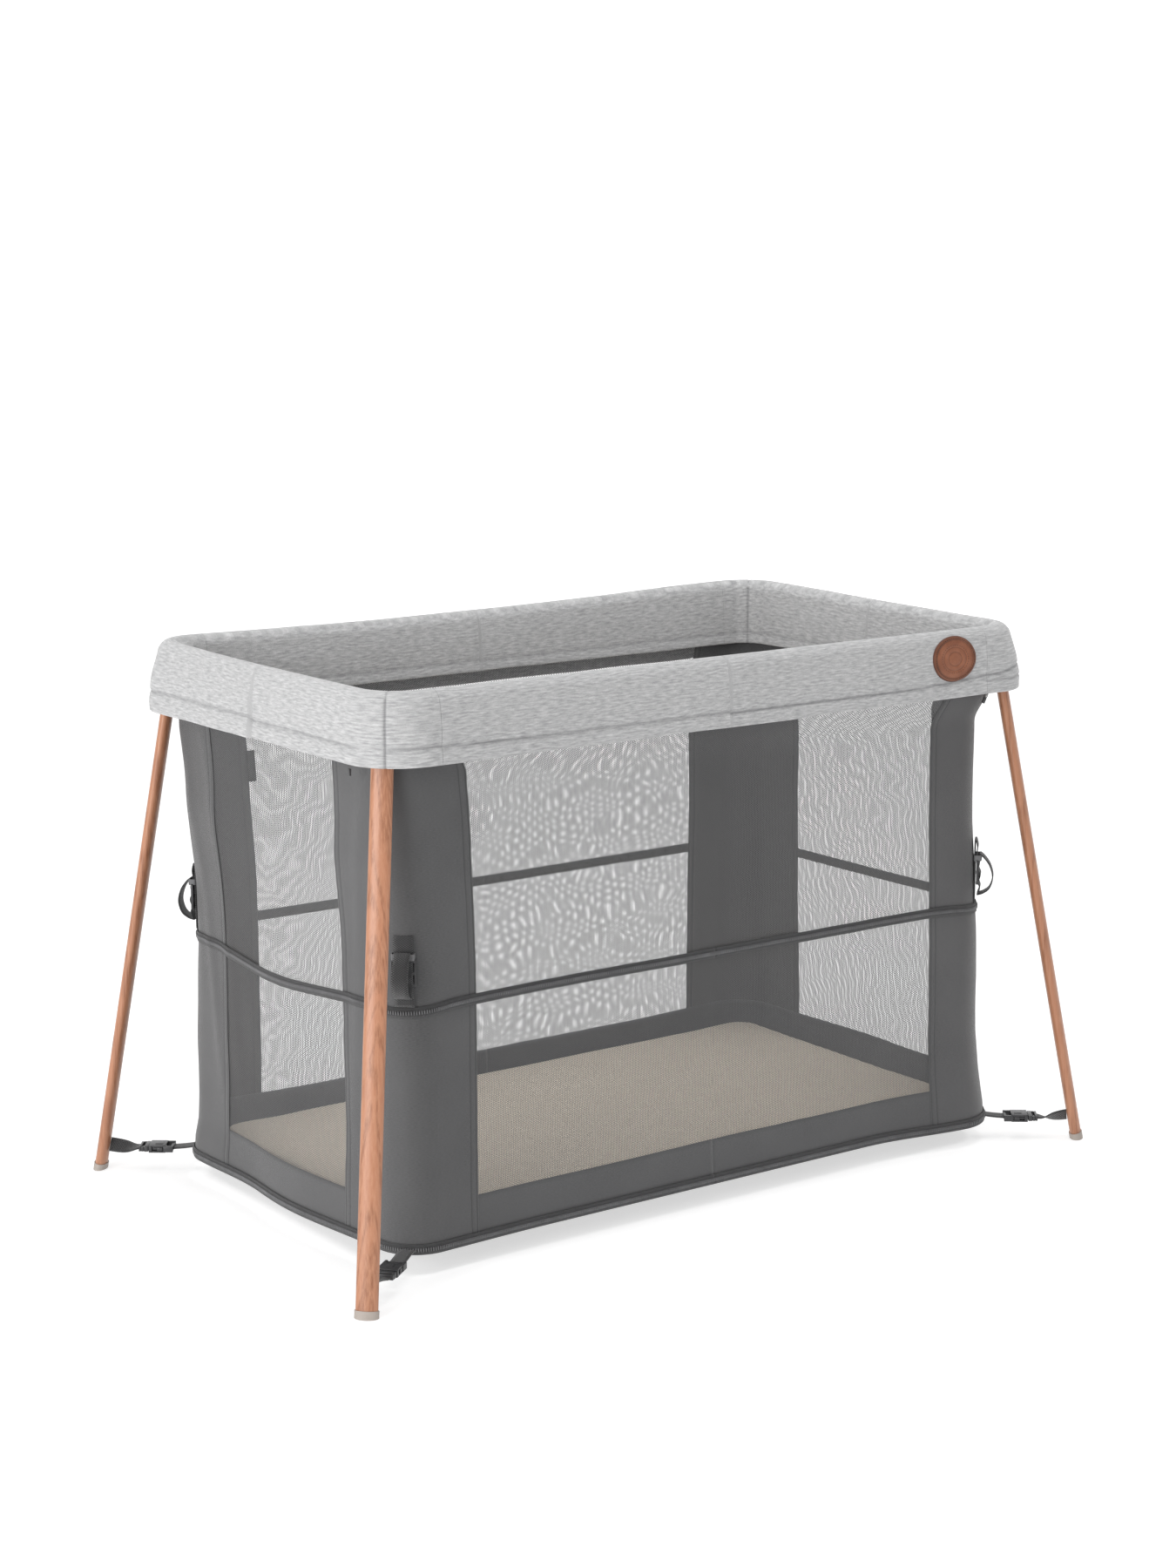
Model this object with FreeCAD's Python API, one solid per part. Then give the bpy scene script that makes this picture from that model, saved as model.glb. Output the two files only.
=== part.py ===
"""Travel play yard: a padded rim on two folding long rails, four splayed legs that fold across the ends,
and a fabric body with mesh windows that hangs from the rim round a lift-out mattress.
Millimetres, +Z up, +X along the long side. The origin is on the floor at the centre of the footprint."""
import FreeCAD, Part
import math, os
from FreeCAD import Vector as V

# Overall sizes
RIM_X, RIM_Y = 530.0, 311.0              # outer half sizes of the rim cover at its lower edge
RIM_TOP = 735.0                          # height of the cover's crest
SPLAY_X, SPLAY_Y = 90.3, 83.9            # how far each foot stands outside its leg's pivot
BASE_Z = 26.0                            # underside of the fabric body

# Rim cover
COVER_H = 88.0                           # from the crest down to the lower edge
COVER_CORNER_R = 75.0
COVER_INNER_R = 30.0
COVER_ROOM_OUT, COVER_ROOM_IN = 9.65, 5.65    # bracket sleeve to the cover's outer and inner lower edges
COVER_LEAN = 7.0                         # how far the outer face leans in over its height
COVER_T = 3.5
COVER_CREST_R = 15.0
SPLIT_GAP = 0.6                          # between pieces of a soft part that is divided for folding

# Rails
RAIL_R, RAIL_WALL = 11.0, 1.5
PIVOT_SETBACK = 14.0                     # corner pivot, past the end of the bent end rail
PIVOT_PIN_R, PIVOT_EYE_R, PIVOT_EYE_W, PIVOT_EYE_HALF_H = 3.0, 10.0, 14.0, 7.0
PIVOT_CHEEK_T, PIVOT_SIDE_GAP = 4.4, 0.4
TUBE_LAP, BORE_LEAD = 2.0, 3.0           # eye's lap into the tube, and the bore's start before it
HINGE_LIFT = 7.0                         # centre hinge pin, above the top of the tube
HINGE_ROOM = 2.5                         # between the hinge lugs and the cover's crest
HINGE_LEN = 40.0                         # length of each centre hinge half along the rail
HINGE_PIN_R, HINGE_LUG_R = 2.5, 6.0
HINGE_LUG_HALF = 4.0                     # half width of the middle lug
HINGE_LUG_T = 4.0                        # thickness of each outer lug
HINGE_BUTT_GAP = 0.4
HINGE_KEEL = 4.0                         # the hinge block's depth below the tube
HINGE_ROOF = 5.0                         # its thickness over the spring
HINGE_PLUG = 20.0                        # its plug inside the tube
RUN_FIT = 0.05                           # radial clearance of a pin that turns in a hole
OPEN_FIT = 0.3                           # the same at the back right corner pivot
PLUG_FIT = 0.1

# Latch buttons, one on each left centre hinge half
BUTTON_R, BUTTON_FLANGE_R, BUTTON_FIT = 5.0, 7.0, 0.3
BUTTON_TRAVEL, BUTTON_LEFT_OUT = 4.0, 3.0   # stroke, and how much still stands out when pressed
BUTTON_FLANGE_T, BUTTON_EDGE_R = 3.0, 1.2
BUTTON_LIP = 2.0                         # floor of the hinge block under the flange
SPRING_WIRE_R, SPRING_R, SPRING_TURNS, SPRING_FIT = 0.6, 4.6, 5, 0.1

# Legs
HIP_IN_X, HIP_IN_Y, HIP_UNDER = 8.3, 17.9, 14.0   # leg pivot, inside the rails' lines and below the tube
LEG_WIDE, LEG_THIN, LEG_WALL = 28.0, 16.0, 1.6
LEG_TOP = 16.0                           # tube's upper end, below the pivot along the leg
LEG_FLOOR = 3.0                          # height of the tube's lower end above the floor
TONGUE_W, TONGUE_R, KNUCKLE_SHOULDER, KNUCKLE_PLUG = 8.0, 9.0, 3.0, 24.0
EAR_T, EAR_GAP, LEG_PIN_R = 3.5, 0.4, 3.0
SLEEVE_T, SLEEVE_SWEEP = 2.35, 72.0      # corner bracket's wall round the bent rail, and its angle
CAP_T, CAP_HEIGHT, CAP_FIT = 1.3, 9.0, 0.05
FOLD_ACROSS, FOLD_DOWN = 0.755, 0.656    # a folded leg's direction: across the end, and down
BACK_TILT = 0.085                        # the back legs fold this much further out, to pass the front ones

# Fabric body
WALL_IN_X, WALL_OUT_Y = 10.0, 1.0        # walls to the cover's inner face: inside it, and outside it
WALL_R, WALL_T = 45.0, 1.6
WALL_TOP_GAP = 1.0                       # below the cover's lower edge
PANEL_X, PANEL_Y = 103.0, 120.0          # how far the corner panels reach from the body's corners
BINDING_H, BAND_TOP = 14.0, 88.0         # bottom binding, and top of the solid band under the windows
BINDING_PROUD = 1.5
FLOOR_T, EDGE_GAP = 3.0, 0.3
ZIP_Z, ZIP_H, ZIP_T = 342.0, 14.0, 2.2

# Mattress
MAT_GAP_X, MAT_GAP_Y = 4.4, 13.4         # mattress to the walls' inner faces
MAT_SHARPER = 25.0                       # how much tighter its corners are than the walls'
BOARD_T, PAD_T, BOARD_COUNT, BOARD_GAP, BOARD_INSET, LAY_GAP = 5.0, 34.0, 4, 4.0, 8.0, 0.5

# Corner straps, foot straps and their buckles
STRAP_W, STRAP_T, STRAP_RISE, STRAP_LEN = 25.0, 1.6, 10.0, 73.0   # rise is above the middle zip's line
LOOP_OUT, LOOP_RISE, LOOP_LEN, LOOP_R = 28.0, 14.0, 56.0, 8.0
LOCK_RIM, LOCK_H, LOCK_T, LOCK_BAR = 4.0, 34.0, 4.0, 5.0
STRAP_OFF = 0.6                          # strap to the wall's corner
FOOT_STRAP_W, FOOT_STRAP_T, FOOT_STRAP_RISE = 20.0, 1.6, 5.0
FOOT_STRAP_START, FEMALE_START, FEMALE_LEN = 3.0, 52.0, 34.0
FEMALE_RIM, FEMALE_H, FEMALE_WALL = 3.5, 10.0, 1.8
MALE_BODY, PRONG_LEN, PRONG_W, PRONG_H, MALE_FIT = 14.0, 22.0, 4.5, 4.0, 0.5
MALE_BAR, MALE_SLOT, MALE_THINNER = 4.0, 3.0, 1.0   # webbing bar, its slot, and slimmer than the female

# Oval patch and blank label
PATCH_IN, PATCH_DROP = 60.0, 35.0        # patch centre, in from the corner pivot and below the crest
PATCH_HALF_W, PATCH_HALF_H, PATCH_T = 39.0, 31.0, 2.0
LABEL_W, LABEL_H, LABEL_T, LABEL_DROP, LABEL_LAP = 11.0, 43.0, 0.8, 71.0, 3.0   # drop is below the cover

# Worked out from the sizes above
BUTTON_OUT = BUTTON_TRAVEL + BUTTON_LEFT_OUT
SLEEVE_R = RAIL_R + SLEEVE_T
RAIL_INSET = SLEEVE_R + COVER_ROOM_OUT
COVER_WIDTH = RAIL_INSET + SLEEVE_R + COVER_ROOM_IN
RAIL_X, RAIL_Y = RIM_X - RAIL_INSET, RIM_Y - RAIL_INSET
BEND_R = COVER_CORNER_R - RAIL_INSET
HINGE_Z = RIM_TOP - COVER_T - HINGE_ROOM - HINGE_LUG_R
RAIL_Z = HINGE_Z - HINGE_LIFT - RAIL_R
BEND_X, BEND_Y = RAIL_X - BEND_R, RAIL_Y - BEND_R
PIVOT_X = BEND_X - PIVOT_SETBACK
HIP_X, HIP_Y, HIP_Z = RAIL_X - HIP_IN_X, RAIL_Y - HIP_IN_Y, RAIL_Z - RAIL_R - HIP_UNDER
FOOT_X, FOOT_Y = HIP_X + SPLAY_X, HIP_Y + SPLAY_Y
RIM_BOTTOM = RIM_TOP - COVER_H
WALL_X, WALL_Y = RIM_X - COVER_WIDTH - WALL_IN_X, RIM_Y - COVER_WIDTH + WALL_OUT_Y
WALL_TOP = RIM_BOTTOM - WALL_TOP_GAP
WINDOW_X, WINDOW_Y = WALL_X - PANEL_X, WALL_Y - PANEL_Y
MAT_X, MAT_Y, MAT_R = WALL_X - WALL_T - MAT_GAP_X, WALL_Y - WALL_T - MAT_GAP_Y, WALL_R - MAT_SHARPER
STRAP_LOW, LOOP_LOW = ZIP_Z + STRAP_RISE, ZIP_Z + LOOP_RISE
STRAP_HIGH, LOOP_HIGH = STRAP_LOW + STRAP_LEN, LOOP_LOW + LOOP_LEN
LOCK_W, FEMALE_W = STRAP_W + 2 * LOCK_RIM, FOOT_STRAP_W + 2 * FEMALE_RIM
UP = V(0, 0, 1)
CORNERS = {"front_left": (-1, -1), "front_right": (1, -1), "back_left": (-1, 1), "back_right": (1, 1)}
ENDS = {"left": -1, "right": 1}
SIDES = {"front": -1, "back": 1}
BIG, TINY = 2000.0, 1e-4
NODES = {}


def box(x0, x1, y0, y1, z0, z1):
    """A box between two values on each axis, given in either order."""
    low = V(min(x0, x1), min(y0, y1), min(z0, z1))
    return Part.makeBox(abs(x1 - x0), abs(y1 - y0), abs(z1 - z0), low)


def rod(start, direction, radius, length):
    return Part.makeCylinder(radius, length, start, direction)


def fused(shapes):
    whole = shapes[0].multiFuse(shapes[1:]) if len(shapes) > 1 else shapes[0]
    return whole.removeSplitter()


def group(shapes):
    return Part.makeCompound([s for shape in shapes for s in shape.Solids])


def rounded_rect(half_x, half_y, radius, z):
    """A closed wire: a rectangle with round corners, centred on the Z axis."""
    edges = []
    turns = [(1, 1, 0), (-1, 1, 90), (-1, -1, 180), (1, -1, 270)]
    ends = []
    for sx, sy, start in turns:
        centre = V(sx * (half_x - radius), sy * (half_y - radius), z)
        points = [centre + radius * V(math.cos(math.radians(start + a)), math.sin(math.radians(start + a)), 0)
                  for a in (0, 45, 90)]
        ends.append(points)
        edges.append(Part.Arc(*points).toShape())
    for i in range(4):
        edges.append(Part.LineSegment(ends[i][2], ends[(i + 1) % 4][0]).toShape())
    return Part.Wire(Part.__sortEdges__(edges))


def slab(half_x, half_y, radius, z0, z1):
    return Part.Face(rounded_rect(half_x, half_y, radius, z0)).extrude(V(0, 0, z1 - z0))


def wall(half_x, half_y, radius, thickness, z0, z1):
    """An upright wall whose outer face is a rounded rectangle."""
    inner = slab(half_x - thickness, half_y - thickness, radius - thickness, z0 - 1, z1 + 1)
    return slab(half_x, half_y, radius, z0, z1).cut(inner)


def round_top(solid, z, radius):
    edges = [e for e in solid.Edges if abs(e.BoundBox.ZMin - z) < TINY and abs(e.BoundBox.ZMax - z) < TINY]
    return solid.makeFillet(radius, edges)


# Rim cover: a padded channel, open below, that runs right round over the rails

def channel_solid(inset, top):
    """The cover's outer form, moved in by inset. It leans inwards as it rises."""
    low = rounded_rect(RIM_X - inset, RIM_Y - inset, COVER_CORNER_R - inset, RIM_BOTTOM)
    lean = COVER_LEAN + inset
    high = rounded_rect(RIM_X - lean, RIM_Y - lean, COVER_CORNER_R - lean, top)
    outer = Part.makeLoft([low, high], True, True)
    hole = slab(RIM_X - COVER_WIDTH + inset, RIM_Y - COVER_WIDTH + inset, COVER_INNER_R + inset,
                RIM_BOTTOM - 1, top + 1)
    return round_top(outer.cut(hole), top, COVER_CREST_R - inset)


def rim_cover():
    whole = channel_solid(0, RIM_TOP).cut(channel_solid(COVER_T, RIM_TOP - COVER_T))
    half = SPLIT_GAP / 2
    for end, sx in ENDS.items():
        keep = box(sx * (PIVOT_X + half), sx * BIG, -BIG, BIG, 0, BIG)
        NODES["rim_cover_end_" + end] = whole.common(keep)
        for side, sy in SIDES.items():
            keep = box(sx * half, sx * (PIVOT_X - half), 0, sy * BIG, 0, BIG)
            NODES[f"rim_cover_{side}_{end}"] = whole.common(keep)


# End rails and the brackets at their corners

def bend(sx, sy, radius, start=0.0, sweep=90.0):
    """Part of a round bar that follows the rim's corner. Angles run from the end rail to the long rail."""
    centre = V(sx * BEND_X, sy * BEND_Y, RAIL_Z)
    section = Part.Face(Part.Wire(Part.Circle(centre + V(sx * BEND_R, 0, 0), V(0, 1, 0), radius).toShape()))
    hand = sx * sy
    section.rotate(centre, UP, hand * start)
    return section.revolve(centre, V(0, 0, hand), sweep)


def end_bar(sx, radius):
    straight = rod(V(sx * RAIL_X, -BEND_Y, RAIL_Z), V(0, 1, 0), radius, 2 * BEND_Y)
    return fused([straight, bend(sx, -1, radius), bend(sx, 1, radius)])


def leg_frame(sx, sy):
    """Pivot point, direction at rest, folded direction, pivot axis, leg length and fold angle of one leg."""
    hip = V(sx * HIP_X, sy * HIP_Y, HIP_Z)
    down = V(sx * FOOT_X, sy * FOOT_Y, 0) - hip
    length = down.Length
    down.normalize()
    folded = V(sx * (BACK_TILT if sy > 0 else 0.0), -sy * FOLD_ACROSS, -FOLD_DOWN)
    folded.normalize()
    axis = down.cross(folded)
    axis.normalize()
    return hip, down, folded, axis, length, math.degrees(math.acos(down.dot(folded)))


def block_along(origin, direction, across, half_across, half_other, start, stop):
    """A box along direction, half_across wide each way along across and half_other the third way."""
    other = direction.cross(across)
    other.normalize()
    corner = origin + direction * start - across * half_across - other * half_other
    face = Part.Face(Part.makePolygon([corner, corner + across * (2 * half_across),
                                       corner + across * (2 * half_across) + other * (2 * half_other),
                                       corner + other * (2 * half_other), corner]))
    return face.extrude(direction * (stop - start))


def corner_bracket(sx, sy):
    """A moulded sleeve on the bent rail, with two ears below for the leg and a fork for the long rail."""
    sleeve = bend(sx, sy, SLEEVE_R, 90 - SLEEVE_SWEEP, SLEEVE_SWEEP)
    nose = rod(V(sx * BEND_X, sy * RAIL_Y, RAIL_Z), V(-sx, 0, 0), SLEEVE_R, PIVOT_SETBACK - PIVOT_EYE_R - 1)
    parts = [sleeve, nose]
    cheek_in = PIVOT_EYE_W / 2 + PIVOT_SIDE_GAP
    for s in (-1, 1):
        y0, y1 = sy * RAIL_Y + s * cheek_in, sy * RAIL_Y + s * (cheek_in + PIVOT_CHEEK_T)
        cheek_r = PIVOT_EYE_R + 1
        parts.append(box(sx * PIVOT_X, sx * (BEND_X - 1), y0, y1, RAIL_Z - cheek_r, RAIL_Z + cheek_r))
        parts.append(rod(V(sx * PIVOT_X, min(y0, y1), RAIL_Z), V(0, 1, 0), cheek_r, PIVOT_CHEEK_T))
    hip, down, _, axis, _, _ = leg_frame(sx, sy)
    ear_mid = TONGUE_W / 2 + EAR_GAP + EAR_T / 2
    for s in (-1, 1):
        centre = hip + axis * (s * ear_mid)
        parts.append(rod(centre - axis * (EAR_T / 2), axis, TONGUE_R, EAR_T))
        parts.append(block_along(centre, down, axis, EAR_T / 2, TONGUE_R, -(RAIL_Z - HIP_Z), 0))
    solid = fused(parts).cut(end_bar(sx, RAIL_R + RUN_FIT))
    reach = PIVOT_EYE_W / 2 + PIVOT_SIDE_GAP + PIVOT_CHEEK_T + 1
    solid = solid.cut(rod(V(sx * PIVOT_X, sy * RAIL_Y - reach, RAIL_Z), V(0, 1, 0), PIVOT_PIN_R, 2 * reach))
    pin_half = ear_mid + EAR_T
    return solid.cut(rod(hip - axis * pin_half, axis, LEG_PIN_R, 2 * pin_half))


def pins(sx, sy):
    """The pivot pin of the long rail and the pin of the leg, at one corner."""
    half = PIVOT_EYE_W / 2 + PIVOT_SIDE_GAP + PIVOT_CHEEK_T
    hip, _, _, axis, _, _ = leg_frame(sx, sy)
    leg_half = TONGUE_W / 2 + EAR_GAP + EAR_T
    return [rod(V(sx * PIVOT_X, sy * RAIL_Y - half, RAIL_Z), V(0, 1, 0), PIVOT_PIN_R, 2 * half),
            rod(hip - axis * leg_half, axis, LEG_PIN_R, 2 * leg_half)]


def end_frames():
    for end, sx in ENDS.items():
        NODES["end_rail_" + end] = end_bar(sx, RAIL_R).cut(end_bar(sx, RAIL_R - RAIL_WALL))
        NODES["corner_brackets_" + end] = group([corner_bracket(sx, sy) for sy in SIDES.values()])
        NODES["pivot_pins_" + end] = group([p for sy in SIDES.values() for p in pins(sx, sy)])


# Long rails: two tubes a side, a flattened eye at the corner and a moulded hinge half at the middle

def half_rail(sx, sy):
    start = V(sx * (PIVOT_X - PIVOT_SETBACK), sy * RAIL_Y, RAIL_Z)
    length = PIVOT_X - PIVOT_SETBACK - HINGE_LEN
    tube = rod(start, V(-sx, 0, 0), RAIL_R, length)
    bore = rod(start - V(sx * BORE_LEAD, 0, 0), V(-sx, 0, 0), RAIL_R - RAIL_WALL, length)
    y0, y1 = sy * RAIL_Y - PIVOT_EYE_W / 2, sy * RAIL_Y + PIVOT_EYE_W / 2
    flat = box(sx * PIVOT_X, sx * (PIVOT_X - PIVOT_SETBACK - TUBE_LAP), y0, y1,
               RAIL_Z - PIVOT_EYE_HALF_H, RAIL_Z + PIVOT_EYE_HALF_H)
    eye = rod(V(sx * PIVOT_X, y0, RAIL_Z), V(0, 1, 0), PIVOT_EYE_R, PIVOT_EYE_W)
    fit = OPEN_FIT if (sx, sy) == (1, 1) else RUN_FIT
    hole = rod(V(sx * PIVOT_X, y0 - 1, RAIL_Z), V(0, 1, 0), PIVOT_PIN_R + fit, PIVOT_EYE_W + 2)
    return fused([tube.cut(bore), flat, eye]).cut(hole)


def hinge_half(sx, sy):
    """The left half carries the middle lug, the pin and the latch button; the right half the outer lugs."""
    near = sx * HINGE_BUTT_GAP / 2
    y = sy * RAIL_Y
    top = RAIL_Z + RAIL_R
    body = box(near, sx * HINGE_LEN, y - RAIL_R, y + RAIL_R, RAIL_Z - RAIL_R - HINGE_KEEL, top)
    plug = rod(V(sx * HINGE_LEN, y, RAIL_Z), V(sx, 0, 0), RAIL_R - RAIL_WALL - PLUG_FIT, HINGE_PLUG)
    if sx < 0:
        lugs = [(-HINGE_LUG_HALF, HINGE_LUG_HALF)]
    else:
        inner = HINGE_LUG_HALF + PIVOT_SIDE_GAP
        lugs = [(-inner - HINGE_LUG_T, -inner), (inner, inner + HINGE_LUG_T)]
    parts = [body, plug]
    for low, high in lugs:
        foot = sx * 2 * HINGE_LUG_R
        profile = [V(near, y + low, top - 1), V(near, y + low, HINGE_Z), V(foot / 2, y + low, HINGE_Z),
                   V(foot, y + low, top - 1), V(near, y + low, top - 1)]
        parts.append(Part.Face(Part.makePolygon(profile)).extrude(V(0, high - low, 0)))
        parts.append(rod(V(0, y + low, HINGE_Z), V(0, 1, 0), HINGE_LUG_R, high - low))
    bore_r = HINGE_PIN_R if sx < 0 else HINGE_PIN_R + RUN_FIT
    reach = HINGE_LUG_HALF + PIVOT_SIDE_GAP + HINGE_LUG_T
    solid = fused(parts).cut(rod(V(0, y - reach - 1, HINGE_Z), V(0, 1, 0), bore_r, 2 * reach + 2))
    if sx > 0:
        return group([solid])
    low = RAIL_Z - RAIL_R - HINGE_KEEL
    centre = V(-HINGE_LEN / 2, y, low)
    solid = solid.cut(rod(centre - V(0, 0, 1), UP, BUTTON_R + BUTTON_FIT, BUTTON_LIP + 2))
    well = rod(centre + V(0, 0, BUTTON_LIP), UP, BUTTON_FLANGE_R + BUTTON_FIT,
               top - HINGE_ROOF - low - BUTTON_LIP)
    pin = rod(V(0, y - reach, HINGE_Z), V(0, 1, 0), HINGE_PIN_R, 2 * reach)
    return group([solid.cut(well), pin])


def latch(sy):
    """The push button under the middle of a rail, and the spring that returns it."""
    low = RAIL_Z - RAIL_R - HINGE_KEEL
    centre = V(-HINGE_LEN / 2, sy * RAIL_Y, low)
    flange_z = BUTTON_LIP + BUTTON_FIT
    stem = rod(centre - V(0, 0, BUTTON_OUT), UP, BUTTON_R, BUTTON_OUT + flange_z + 1)
    stem = stem.makeFillet(BUTTON_EDGE_R, [e for e in stem.Edges
                                           if abs(e.BoundBox.ZMax - (low - BUTTON_OUT)) < TINY])
    flange = rod(centre + V(0, 0, flange_z), UP, BUTTON_FLANGE_R, BUTTON_FLANGE_T)
    button = fused([stem, flange])
    bottom = low + flange_z + BUTTON_FLANGE_T + SPRING_WIRE_R + SPRING_FIT
    height = RAIL_Z + RAIL_R - HINGE_ROOF - SPRING_WIRE_R - SPRING_FIT - bottom
    path = Part.Wire(Part.makeHelix(height / SPRING_TURNS, height, SPRING_R).Edges)
    ring = Part.Wire(Part.Circle(V(SPRING_R, 0, 0), V(0, 1, 0), SPRING_WIRE_R).toShape())
    spring = path.makePipeShell([ring], True, True)
    spring.translate(V(centre.x, centre.y, bottom))
    return button, spring


def long_rails():
    for side, sy in SIDES.items():
        for end, sx in ENDS.items():
            NODES[f"long_rail_{side}_{end}"] = half_rail(sx, sy)
            NODES[f"centre_hinge_{side}_{end}"] = hinge_half(sx, sy)
        NODES["latch_button_" + side], NODES["latch_spring_" + side] = latch(sy)


# Legs: flattened oval tubes with a knuckle at the top and a cap at the foot

def oval(sx, sy, origin, grow, start, stop):
    """An oval bar along a leg, its thin way facing out from the corner, between two distances down it."""
    _, down, _, _, _, _ = leg_frame(sx, sy)
    out = V(sx, sy, 0) - down * V(sx, sy, 0).dot(down)
    out.normalize()
    wide = down.cross(out)
    centre = origin + down * start
    curve = Part.Ellipse(centre + wide * (LEG_WIDE / 2 + grow), centre + out * (LEG_THIN / 2 + grow), centre)
    return Part.Face(Part.Wire(curve.toShape())).extrude(down * (stop - start))


def leg(name, sx, sy):
    hip, down, _, axis, length, _ = leg_frame(sx, sy)
    below = box(-BIG, BIG, -BIG, BIG, -BIG, LEG_FLOOR)
    past = length + 20
    tube = oval(sx, sy, hip, 0, LEG_TOP, past).cut(oval(sx, sy, hip, -LEG_WALL, LEG_TOP - 1, past + 1))
    NODES["leg_tube_" + name] = tube.cut(below)
    plug = oval(sx, sy, hip, -LEG_WALL - PLUG_FIT, LEG_TOP, LEG_TOP + KNUCKLE_PLUG)
    shoulder = oval(sx, sy, hip, 0, LEG_TOP - KNUCKLE_SHOULDER, LEG_TOP)
    tongue = block_along(hip, down, axis, TONGUE_W / 2, TONGUE_R, 0, LEG_TOP - KNUCKLE_SHOULDER + 1)
    head = rod(hip - axis * (TONGUE_W / 2), axis, TONGUE_R, TONGUE_W)
    hole = rod(hip - axis * TONGUE_W, axis, LEG_PIN_R + RUN_FIT, 2 * TONGUE_W)
    NODES["leg_knuckle_" + name] = fused([plug, shoulder, tongue, head]).cut(hole)
    top = length - CAP_HEIGHT
    cup = oval(sx, sy, hip, CAP_T, top, past).cut(box(-BIG, BIG, -BIG, BIG, -BIG, 0))
    NODES["foot_cap_" + name] = cup.cut(oval(sx, sy, hip, CAP_FIT, top - 1, past).cut(below))


# Fabric body: corner panels, mesh windows, base tray and zip, each divided at the middle of the yard

def ends_of(whole, name):
    """Keeps each end's share of a soft ring, a small gap apart at the middle of the yard."""
    for end, sx in ENDS.items():
        share = whole.common(box(sx * SPLIT_GAP / 2, sx * BIG, -BIG, BIG, -BIG, BIG))
        NODES[name + "_" + end] = group([share])


def body():
    low = BASE_Z + BINDING_H
    full = wall(WALL_X, WALL_Y, WALL_R, WALL_T, low + EDGE_GAP, WALL_TOP)
    long_window = box(-WINDOW_X, WINDOW_X, -BIG, BIG, 0, BIG)
    end_window = box(-BIG, BIG, -WINDOW_Y, WINDOW_Y, 0, BIG)
    wider = box(-WINDOW_X - EDGE_GAP, WINDOW_X + EDGE_GAP, -BIG, BIG, 0, BIG)
    taller = box(-BIG, BIG, -WINDOW_Y - EDGE_GAP, WINDOW_Y + EDGE_GAP, 0, BIG)
    ends_of(full.cut(wider).cut(taller), "corner_panels")
    mesh = full.common(box(-BIG, BIG, -BIG, BIG, BAND_TOP + EDGE_GAP, BIG))
    ends_of(mesh.common(long_window), "mesh_long")
    ends_of(mesh.common(end_window), "mesh_end")
    binding = slab(WALL_X + BINDING_PROUD, WALL_Y + BINDING_PROUD, WALL_R + BINDING_PROUD, BASE_Z, low)
    inside = slab(WALL_X - WALL_T, WALL_Y - WALL_T, WALL_R - WALL_T, BASE_Z + FLOOR_T, BIG)
    band = wall(WALL_X, WALL_Y, WALL_R, WALL_T, low - 1, BAND_TOP)
    band = band.common(fused([long_window, end_window]))
    ends_of(fused([binding.cut(inside), band]), "base_tray")
    out = EDGE_GAP + ZIP_T
    ring = wall(WALL_X + out, WALL_Y + out, WALL_R + out, ZIP_T, ZIP_Z - ZIP_H / 2, ZIP_Z + ZIP_H / 2)
    ends_of(ring, "middle_zip")


def mattress():
    z = BASE_Z + FLOOR_T + LAY_GAP
    half_x, half_y = MAT_X - BOARD_INSET, MAT_Y - BOARD_INSET
    pitch = 2 * half_x / BOARD_COUNT
    boards = []
    for i in range(BOARD_COUNT):
        x = -half_x + i * pitch
        boards.append(box(x + BOARD_GAP / 2, x + pitch - BOARD_GAP / 2, -half_y, half_y, z, z + BOARD_T))
    NODES["mattress_boards"] = group(boards)
    low = z + BOARD_T + LAY_GAP
    NODES["mattress_pad"] = round_top(slab(MAT_X, MAT_Y, MAT_R, low, low + PAD_T), low + PAD_T, 6)


# Straps, ladder locks and buckles

def turned(shape, sx, sy):
    """Moves a shape drawn with +X pointing out of the wall's corner to one corner of the body."""
    shape.rotate(V(0, 0, 0), UP, math.degrees(math.atan2(sy, sx)))
    reach = WALL_R * math.sqrt(0.5)
    shape.translate(V(sx * (WALL_X - WALL_R + reach), sy * (WALL_Y - WALL_R + reach), 0))
    return shape


def corner_strap(sx, sy):
    half = STRAP_W / 2
    flat = box(STRAP_OFF, STRAP_OFF + STRAP_T, -half, half, STRAP_LOW, STRAP_HIGH)
    start = STRAP_OFF + STRAP_T + LOCK_T + 2 * EDGE_GAP
    loop = box(start, LOOP_OUT, -half, half, LOOP_LOW, LOOP_HIGH)
    loop = loop.makeFillet(LOOP_R, [e for e in loop.Edges
                                    if e.BoundBox.YLength > half and e.BoundBox.XMax > start + 1])
    inner = box(start + STRAP_T, LOOP_OUT - STRAP_T, -BIG, BIG, LOOP_LOW + STRAP_T, LOOP_HIGH - STRAP_T)
    far = [e for e in inner.Edges if e.BoundBox.YLength > half and e.BoundBox.XMax > start + STRAP_T + 1]
    inner = inner.makeFillet(LOOP_R - STRAP_T, far)
    return turned(group([flat, loop.cut(inner)]), sx, sy)


def ladder_lock(sx, sy):
    start = STRAP_OFF + STRAP_T + EDGE_GAP
    middle = (STRAP_LOW + STRAP_HIGH) / 2
    plate = box(start, start + LOCK_T, -LOCK_W / 2, LOCK_W / 2, middle - LOCK_H / 2, middle + LOCK_H / 2)
    slot = (LOCK_H - 3 * LOCK_BAR) / 2
    for i in (0, 1):
        z = middle - LOCK_H / 2 + LOCK_BAR + i * (slot + LOCK_BAR)
        plate = plate.cut(box(start - 1, start + LOCK_T + 1, -STRAP_W / 2 - 1, STRAP_W / 2 + 1, z, z + slot))
    return turned(plate, sx, sy)


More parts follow.
